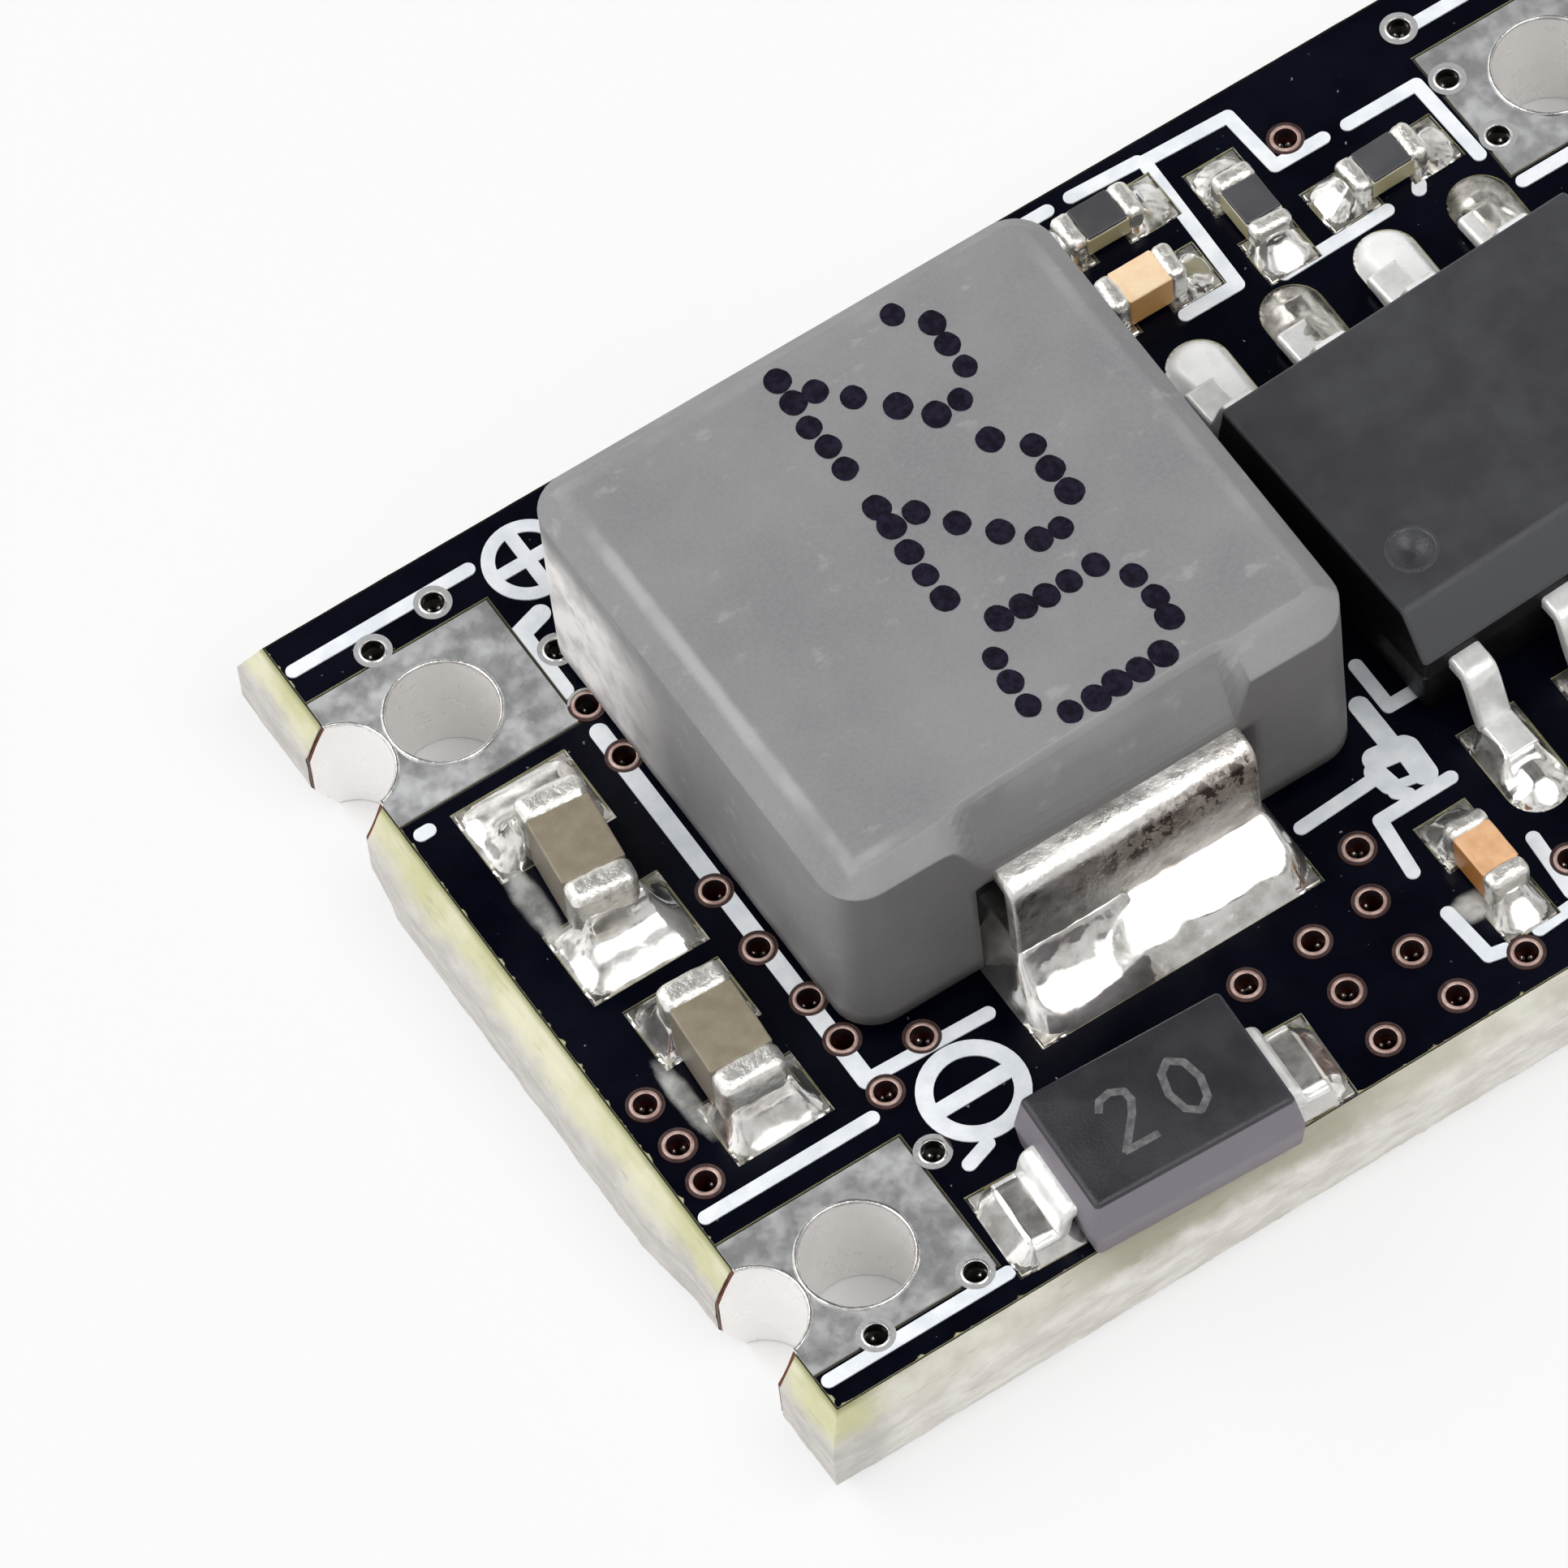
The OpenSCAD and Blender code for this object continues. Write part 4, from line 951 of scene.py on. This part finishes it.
def bevel_at(x, y):
    """Height of the top bevel's foot and how far it leans in, wider near right and over the strap."""
    away = x - STRAP_SHIFT
    near = smooth((-y - CORE_Y / 2 + 0.3) / 0.2)
    over_strap = near * (1 - smooth((abs(away) - STRAP_W / 2 - 0.02) / (0.12 if away > 0 else 0.5)))
    right = near * smooth(x / CORE_X + 0.5)
    return 2.74 - 0.16 * right - 0.74 * over_strap, 0.27 + 0.14 * right + 0.06 * over_strap


# the bevel's worn profile, as shares of its lean and of its height
BEVEL = [
    (0.0, 0.0), (0.02, 0.05), (0.06, 0.11), (0.14, 0.2), (0.3, 0.36), (0.5, 0.55),
    (0.7, 0.74), (0.86, 0.9), (0.93, 0.955), (0.97, 0.985), (1.0, 1.0),
]


def inductor_block():
    at = place(*centre("inductor_core"), 0)
    top = top_of("inductor_core")
    plan = rounded_outline(CORE_X / 2, CORE_Y / 2, 0.5)
    # level rows up to the strap's recess, then rows that follow the bevel's foot
    recess_top = 1.71
    levels = [(z, 0.0) for z in (0.09, 0.3, 0.6, 0.9, 1.2, 1.5, 1.66, 1.7, 1.72, 1.8)]
    levels += [(1.8, share) for share in (0.5, 0.9, 0.97)]
    rows = []
    for base, share in levels:
        row = []
        for point, facing in plan:
            height = base + (bevel_at(*point)[0] - base) * share
            inset = 0.0
            for side in (-1, 1):
                away = abs(point.x + side * STRAP_SHIFT) - STRAP_W / 2 - 0.14
                if side * facing.y > 0.99 and away < 0 and height < recess_top:
                    inset = 0.45
            inset -= 0.006 * wobble((point.x, point.y, height), 0.9, 3.0)
            spot = point - facing * inset
            row.append(at @ Vector((spot.x, spot.y, height)))
        rows.append(row)
    for t_in, t_up in BEVEL:
        row = []
        for point, facing in plan:
            foot, depth = bevel_at(*point)
            wave = 0.02 * wobble((point.x, point.y, 5.0), 0.7, 6.0) * math.sin(math.pi * t_up)
            spot = point - facing * depth * t_in
            row.append(at @ Vector((spot.x, spot.y, foot + (top - foot) * t_up + wave)))
        rows.append(row)
    hub = at @ Vector((0, 0, top))
    rim = rows[-1]
    rows += [[hub.lerp(p, t) for p in rim] for t in (0.985, 0.96, 0.8, 0.6, 0.4, 0.2)]
    mesh = Mesh()
    mesh.tube(rows, (-1, False), (0, True))
    mesh.piece("inductor_pressed_block", CORE, "pressed_powder", ["inductor_core"])


def inductor_straps():
    x, y = centre("inductor_core")
    face = STRAP_FACE
    path = [(face - 1.6, 0.13), (face - 0.14, 0.13), (face - 0.1, 0.15)]
    path += [(face - 0.1, 1.66), (face - 0.2, 1.8), (2.06, 1.8)]
    land = (2.05, CORE_Y / 2 + 1.17, STRAP_SHIFT - 1.84, STRAP_SHIFT + 1.84, 0.42)
    low, mid, high = (STRAP_SHIFT + STRAP_W * share for share in (-0.49, -0.08, 0.49))
    feet = [(2.2, face + 0.005, low, mid, 0.6, 0.34), (2.2, face + 0.005, mid, high, 0.52, -0.9)]
    solder = Mesh()
    for turn, name in ((-90, "near"), (90, "far")):
        at = place(x, y, turn)
        mesh = Mesh()
        strip(mesh, at, path, STRAP_W, 0.2, 0.06, STRAP_SHIFT, 0.014, 2.0 + turn, lanes=40)
        mesh.piece("inductor_strap_" + name, STRAP, "strap", ["inductor_terminal_" + name], merge=1e-8)
        patch(solder, at, land, feet, (0.09, 0.24, 0.026, 41.0 + turn / 90))
    solder.piece("inductor_solder", SOLDER, "solder", ["solder_inductor"])


FONT = {
    "2": (".###.", "#...#", "....#", "...#.", "..#..", ".#...", "#####"),
    "0": (".###.", "#...#", "#...#", "#...#", "#...#", "#...#", ".###."),
}


def block_marking(text="220"):
    """Plain dotted digits, read along the block's side, with their tops toward the regulator."""
    rng = random.Random(7)
    mesh = Mesh()
    top = top_of("inductor_core")
    high_x, start_y = 7.5, 9.62
    line_pitch, dot_pitch, digit_pitch = 0.305, 0.35, 2.0
    lift = 0.003
    lines = [(c, r, line) for c, mark in enumerate(text) for r, line in enumerate(FONT[mark])]
    for c, r, k in [(c, r, k) for c, r, line in lines for k, dot in enumerate(line) if dot == "#"]:
        x = high_x - line_pitch * r + rng.uniform(-0.03, 0.03)
        y = start_y - digit_pitch * c - dot_pitch * k + rng.uniform(-0.03, 0.03)
        radius = rng.uniform(0.145, 0.175)
        lift += 0.00004  # keeps dots that touch from sharing a plane
        first = len(mesh.points)
        for cos, sin in around(20):
            out = radius * (1 + 0.07 * wobble((cos, sin, lift * 900), 0.8))
            mesh.points.append(board(x + out * cos * 0.95, y + out * sin * 1.05, top + lift))
        mesh.cap(first, 20)
    mesh.piece("inductor_marking", INK, "mould_compound", flat=True)


# ---- diode ----

def diode():
    x, y = centre("diode_body")
    at = place(x, y, DIODE_TURN)
    top = top_of("diode_body")
    length, width, r = 2.66, 1.75, 0.06
    # sections lean out to the parting line and in again above it
    levels = [(0.06, 0.06), (0.1, 0.03), (0.42, 0.0), (0.45, -0.004), (0.48, 0.0)]
    levels += [(top - 0.06, 0.07), (top - 0.025, 0.085), (top - 0.008, 0.105), (top, 0.14)]
    rows = []
    for z, inset in levels:
        cx, cy = length / 2 - inset - r, width / 2 - inset - r
        row = []
        for sx, sy, start in ((1, -1, -90), (1, 1, 0), (-1, 1, 90), (-1, -1, 180)):
            for m in range(5):
                a = math.radians(start + 90 * m / 4)
                row.append(at @ Vector((sx * cx + r * math.cos(a), sy * cy + r * math.sin(a), z)))
        rows.append(row)
    mesh = Mesh()
    mesh.tube(rows, (-1, False), (0, True))
    mesh.piece("diode_moulding", DIODE, "mould_compound", ["diode_body"])
    path = [(1.1, 0.5), (1.34, 0.5), (1.44, 0.46), (1.48, 0.2), (1.56, 0.12), (1.86, 0.12)]
    solder = Mesh()
    for side, name in ((-1, "left"), (1, "right")):
        mesh = Mesh()
        lead_at = place(x, y, DIODE_TURN + (0 if side > 0 else 180))
        strip(mesh, lead_at, path, 0.96, 0.16, 0.05, rough=0.008, seed=4.0 + side, lanes=12)
        mesh.piece("diode_lead_formed_" + name, LEAD, "lead", ["diode_lead_" + name], merge=1e-8)
        land = sorted((side * 1.05, side * 2.13))
        foot = sorted((side * 1.45, side * 1.87))
        feet = [(*foot, -0.44, 0.44, 0.15, 0.14)]
        patch(solder, at, (*land, -0.57, 0.57, 0.3), feet, (0.08, 0.24, 0.02, 51.0 + side))
    solder.piece("diode_solder", SOLDER, "solder", ["solder_diode"])


DIGIT_STROKES = {
    "2": [
        (0.0, 0.8), (0.1, 0.95), (0.3, 1.0), (0.5, 0.9),
        (0.52, 0.72), (0.4, 0.5), (0.0, 0.0), (0.55, 0.0),
    ],
    "0": [
        (0.27, 1.0), (0.08, 0.85), (0.0, 0.5), (0.08, 0.15), (0.27, 0.0),
        (0.47, 0.15), (0.55, 0.5), (0.47, 0.85), (0.27, 1.0),
    ],
}


def diode_marking(text="20"):
    """Faint plain digits on the diode."""
    at = place(*centre("diode_body"), DIODE_TURN)
    top = top_of("diode_body") + 0.002
    size, width, pitch = 0.72, 0.045, 0.75
    mesh = Mesh()
    for c, mark in enumerate(text):
        path = [Vector((-0.62 + pitch * c + x * size, -0.38 + y * size)) for x, y in DIGIT_STROKES[mark]]
        for k, (a, b) in enumerate(zip(path, path[1:])):
            along = (b - a).normalized()
            side = Vector((-along.y, along.x)) * width
            tips = (a - along * 0.02, b + along * 0.02)
            lift = top + 0.00004 * k
            mesh.grid([[at @ Vector((*(p + s * side), lift)) for p in tips] for s in (1, -1)])
    mesh.piece("diode_marking", FAINT, "mould_compound", flat=True)


# ---- vias and holes ----

def via_centres():
    """The middle of each via, from the separate barrels in the node's mesh."""
    data = nodes["via_barrels"].data
    parent = list(range(len(data.vertices)))

    def find(i):
        while parent[i] != i:
            parent[i] = parent[parent[i]]
            i = parent[i]
        return i

    for edge in data.edges:
        a, b = find(edge.vertices[0]), find(edge.vertices[1])
        parent[a] = b
    groups = {}
    for vertex in data.vertices:
        groups.setdefault(find(vertex.index), []).append(vertex.co)
    middles = {}
    for points in groups.values():
        x = (min(p.x for p in points) + max(p.x for p in points)) / 2
        y = (min(p.y for p in points) + max(p.y for p in points)) / 2
        middles[(round(x / MM, 2), round(y / MM, 2))] = Vector((x, y, LAND_TOP))
    return [middles[key] for key in sorted(middles)]


def via_collars():
    """The rolled lip of plating at each via's mouth: bare copper, or tinned in a corner pad."""
    profile = [
        (0.196, -0.012), (0.19, 0.0), (0.179, 0.004), (0.165, 0.008), (0.15, 0.0115),
        (0.139, 0.009), (0.131, -0.004), (0.128, -0.03), (0.13, -0.14),
    ]
    bare, tinned = Mesh(), Mesh()
    for middle in via_centres():
        on_pad = abs(middle.x) > (BOARD_X / 2 - PAD_X) * MM and abs(middle.y) > (BOARD_Y / 2 - PAD_Y) * MM
        rows = []
        for radius, z in profile:
            r = radius - 0.026 * smooth((radius - 0.13) / 0.06) if on_pad else radius
            rows.append([middle + Vector((r * c, r * s, z)) * MM for c, s in around(28)])
        (tinned if on_pad else bare).grid(rows, closed=True)
    bare.piece("via_collars_bare", COLLAR, "via_copper")
    tinned.piece("via_collars_tinned", RIM, "tinned_pad")


def via_beads():
    """Small beads of tin that hang in the barrels and catch the light."""
    rng = random.Random(11)
    mesh = Mesh()
    for middle in via_centres():
        for side in (-1, 1):
            if rng.random() < 0.25:
                continue
            a = math.radians(90 + side * rng.uniform(18, 34) - 26)
            hub = middle + Vector((0.12 * math.cos(a), 0.12 * math.sin(a), -rng.uniform(0.28, 0.34))) * MM
            size = rng.uniform(0.032, 0.046) * MM
            rows = []
            for k in range(7):
                wide, high = math.sin(math.pi * k / 6), 1.3 * math.cos(math.pi * k / 6)
                rows.append([hub + Vector((wide * c, wide * s, high)) * size for c, s in around(10)])
            mesh.grid(rows, closed=True)
    mesh.piece("via_beads", TIN, "via_copper")


def hole_rims():
    """The bright rolled edge of solder at the mouth of each wire hole and half hole."""
    for name in CORNERS:
        y = centre("corner_terminal_" + name)[1]
        left = "out" in name
        middle = 0.0 if left else math.pi
        whole = [math.tau * k / 72 for k in range(73)]
        part = [middle + math.radians(a) for a in range(-76, 77, 4)]
        mesh = Mesh()
        for hole_x, radius, turns in ((1.18, 0.665, whole), (-0.14, 0.615, part)):
            x = hole_x if left else BOARD_X - hole_x
            rows = []
            for t in turns:
                cos, sin = math.cos(t), math.sin(t)
                thick = 0.028 + 0.006 * wobble((cos * 2, sin * 2, x), 0.7)
                row = []
                for k in range(9):
                    a = math.tau * k / 8
                    out = radius + thick * math.cos(a)
                    row.append(board(x + out * cos, y + out * sin, 0.004 + thick * math.sin(a)))
                rows.append(row)
            mesh.grid(rows)
        mesh.piece("hole_rims_" + name, RIM, "tinned_pad")


snapped_edge()
chip_bodies()
tinned_ends()
solder_joints()
flux_residue()
regulator_moulding()
regulator_leads()
inductor_block()
inductor_straps()
block_marking()
diode()
diode_marking()
hole_rims()
via_collars()
via_beads()


# ---- floor, light and camera ----

def floor():
    """A pale floor whose shadows are lifted for the eye and for reflections, as on a lit table."""
    mesh = bpy.data.meshes.new("floor")
    s = 1.2
    mesh.from_pydata([(-s, -s, 0), (s, -s, 0), (s, s, 0), (-s, s, 0)], [], [(0, 1, 2, 3)])
    obj = add("floor", mesh)
    f = Finish("floor_pale", roughness=0.9, specular=0.0)
    pale = f.blend(f.noise(30.0, 2), (0.938, 0.938, 0.939, 1), (0.944, 0.944, 0.945, 1))
    f.set("Base Color", pale)
    glow = f.node("Emission", {"Color": pale})
    rays = f.node("LightPath").outputs
    seen = f.maths("MAXIMUM", rays["Is Camera Ray"], rays["Is Glossy Ray"])
    seen = f.maths("MAXIMUM", seen, rays["Is Transmission Ray"])
    # under the board, seen through its holes, the floor keeps its full shadow
    open_x = f.maths("GREATER_THAN", f.size_of(f.x), BOARD_X / 2 * MM)
    open_y = f.maths("GREATER_THAN", f.size_of(f.y), BOARD_Y / 2 * MM)
    seen = f.times(seen, f.maths("MAXIMUM", open_x, open_y))
    mix = f.node("MixShader", {0: f.times(seen, 0.7), 1: f.shader.outputs[0], 2: glow.outputs[0]})
    output = next(n for n in f.tree.nodes if n.type == "OUTPUT_MATERIAL")
    f.feed(output.inputs["Surface"], mix.outputs[0])
    mesh.materials.append(f.material)
    obj.location.z = -0.00001


def softbox():
    """A broad soft light from the upper left, behind the part."""
    data = bpy.data.lights.new("softbox", "SUN")
    data.energy = 1.0
    data.angle = math.radians(50)
    toward_light = Vector((-0.5, 0.4, 0.78))
    add("softbox", data).rotation_euler = toward_light.to_track_quat("Z", "Y").to_euler()


def studio():
    """Pale walls and a greyer ceiling, dimmer on the near side, with soft dark cards in it."""
    world = bpy.data.worlds.new("studio")
    scene.world = world
    world.use_nodes = True
    g = Graph(world.node_tree, "Generated")
    rise = g.node("ValToRGB", {"Fac": g.node("SeparateXYZ", {0: g.where}).outputs["Z"]})
    ramp = rise.color_ramp
    ramp.interpolation = "EASE"
    for height, level in ((0.36, 1.1), (0.66, 1.05), (0.82, 1.05)):
        ramp.elements.new(height).color = (level, level, level, 1)
    ramp.elements[0].color = (1.0, 1.0, 1.0, 1)
    ramp.elements[-1].color = (0.95, 0.95, 0.95, 1)
    spots = g.node("TexNoise", {"Vector": g.where, "Scale": 2.6, "Detail": 1.0})
    card = g.span(spots.outputs["Fac"], 0.38, 0.52, 0.35, 1.0, "LINEAR")
    shade = g.times(g.plus(g.along((-0.14, 0.3, 0)), 0.84), card)
    # one broad dark card above the far side keeps level faces dark
    dark = g.span(g.along((0.232, 0.466, 0.854)), 0.84, 0.97, 1.0, 0.24)
    # and a bright one above the near side lights fillets that lean to the camera
    bright = g.span(g.along((0.24, -0.46, 0.855)), 0.9, 0.96, 0.0, 2.2)
    lit = g.plus(g.times(shade, dark), bright)
    back = world.node_tree.nodes["Background"]
    g.feed(back.inputs["Color"], g.blend(1.0, rise.outputs["Color"], lit, "MULTIPLY"))
    g.feed(back.inputs["Strength"], 0.98)


def camera():
    azimuth, elevation, roll = (math.radians(a) for a in CAMERA_ANGLES)
    level = math.cos(elevation)
    forward = Vector((math.sin(azimuth) * level, math.cos(azimuth) * level, -math.sin(elevation)))
    right = forward.cross(Vector((0, 0, 1))).normalized()
    up = right.cross(forward)
    x = right * math.cos(roll) + up * math.sin(roll)
    y = -right * math.sin(roll) + up * math.cos(roll)
    data = bpy.data.cameras.new("camera")
    data.sensor_width = 36
    data.lens = CAMERA_LENS
    data.clip_start = 0.001
    obj = add("camera", data)
    turn = Matrix((x, y, -forward)).transposed().to_4x4()
    obj.matrix_world = Matrix.Translation(board(*CAMERA_TARGET) - forward * CAMERA_AWAY * MM) @ turn
    scene.camera = obj


floor()
studio()
softbox()
camera()
scene.view_settings.view_transform = "Standard"
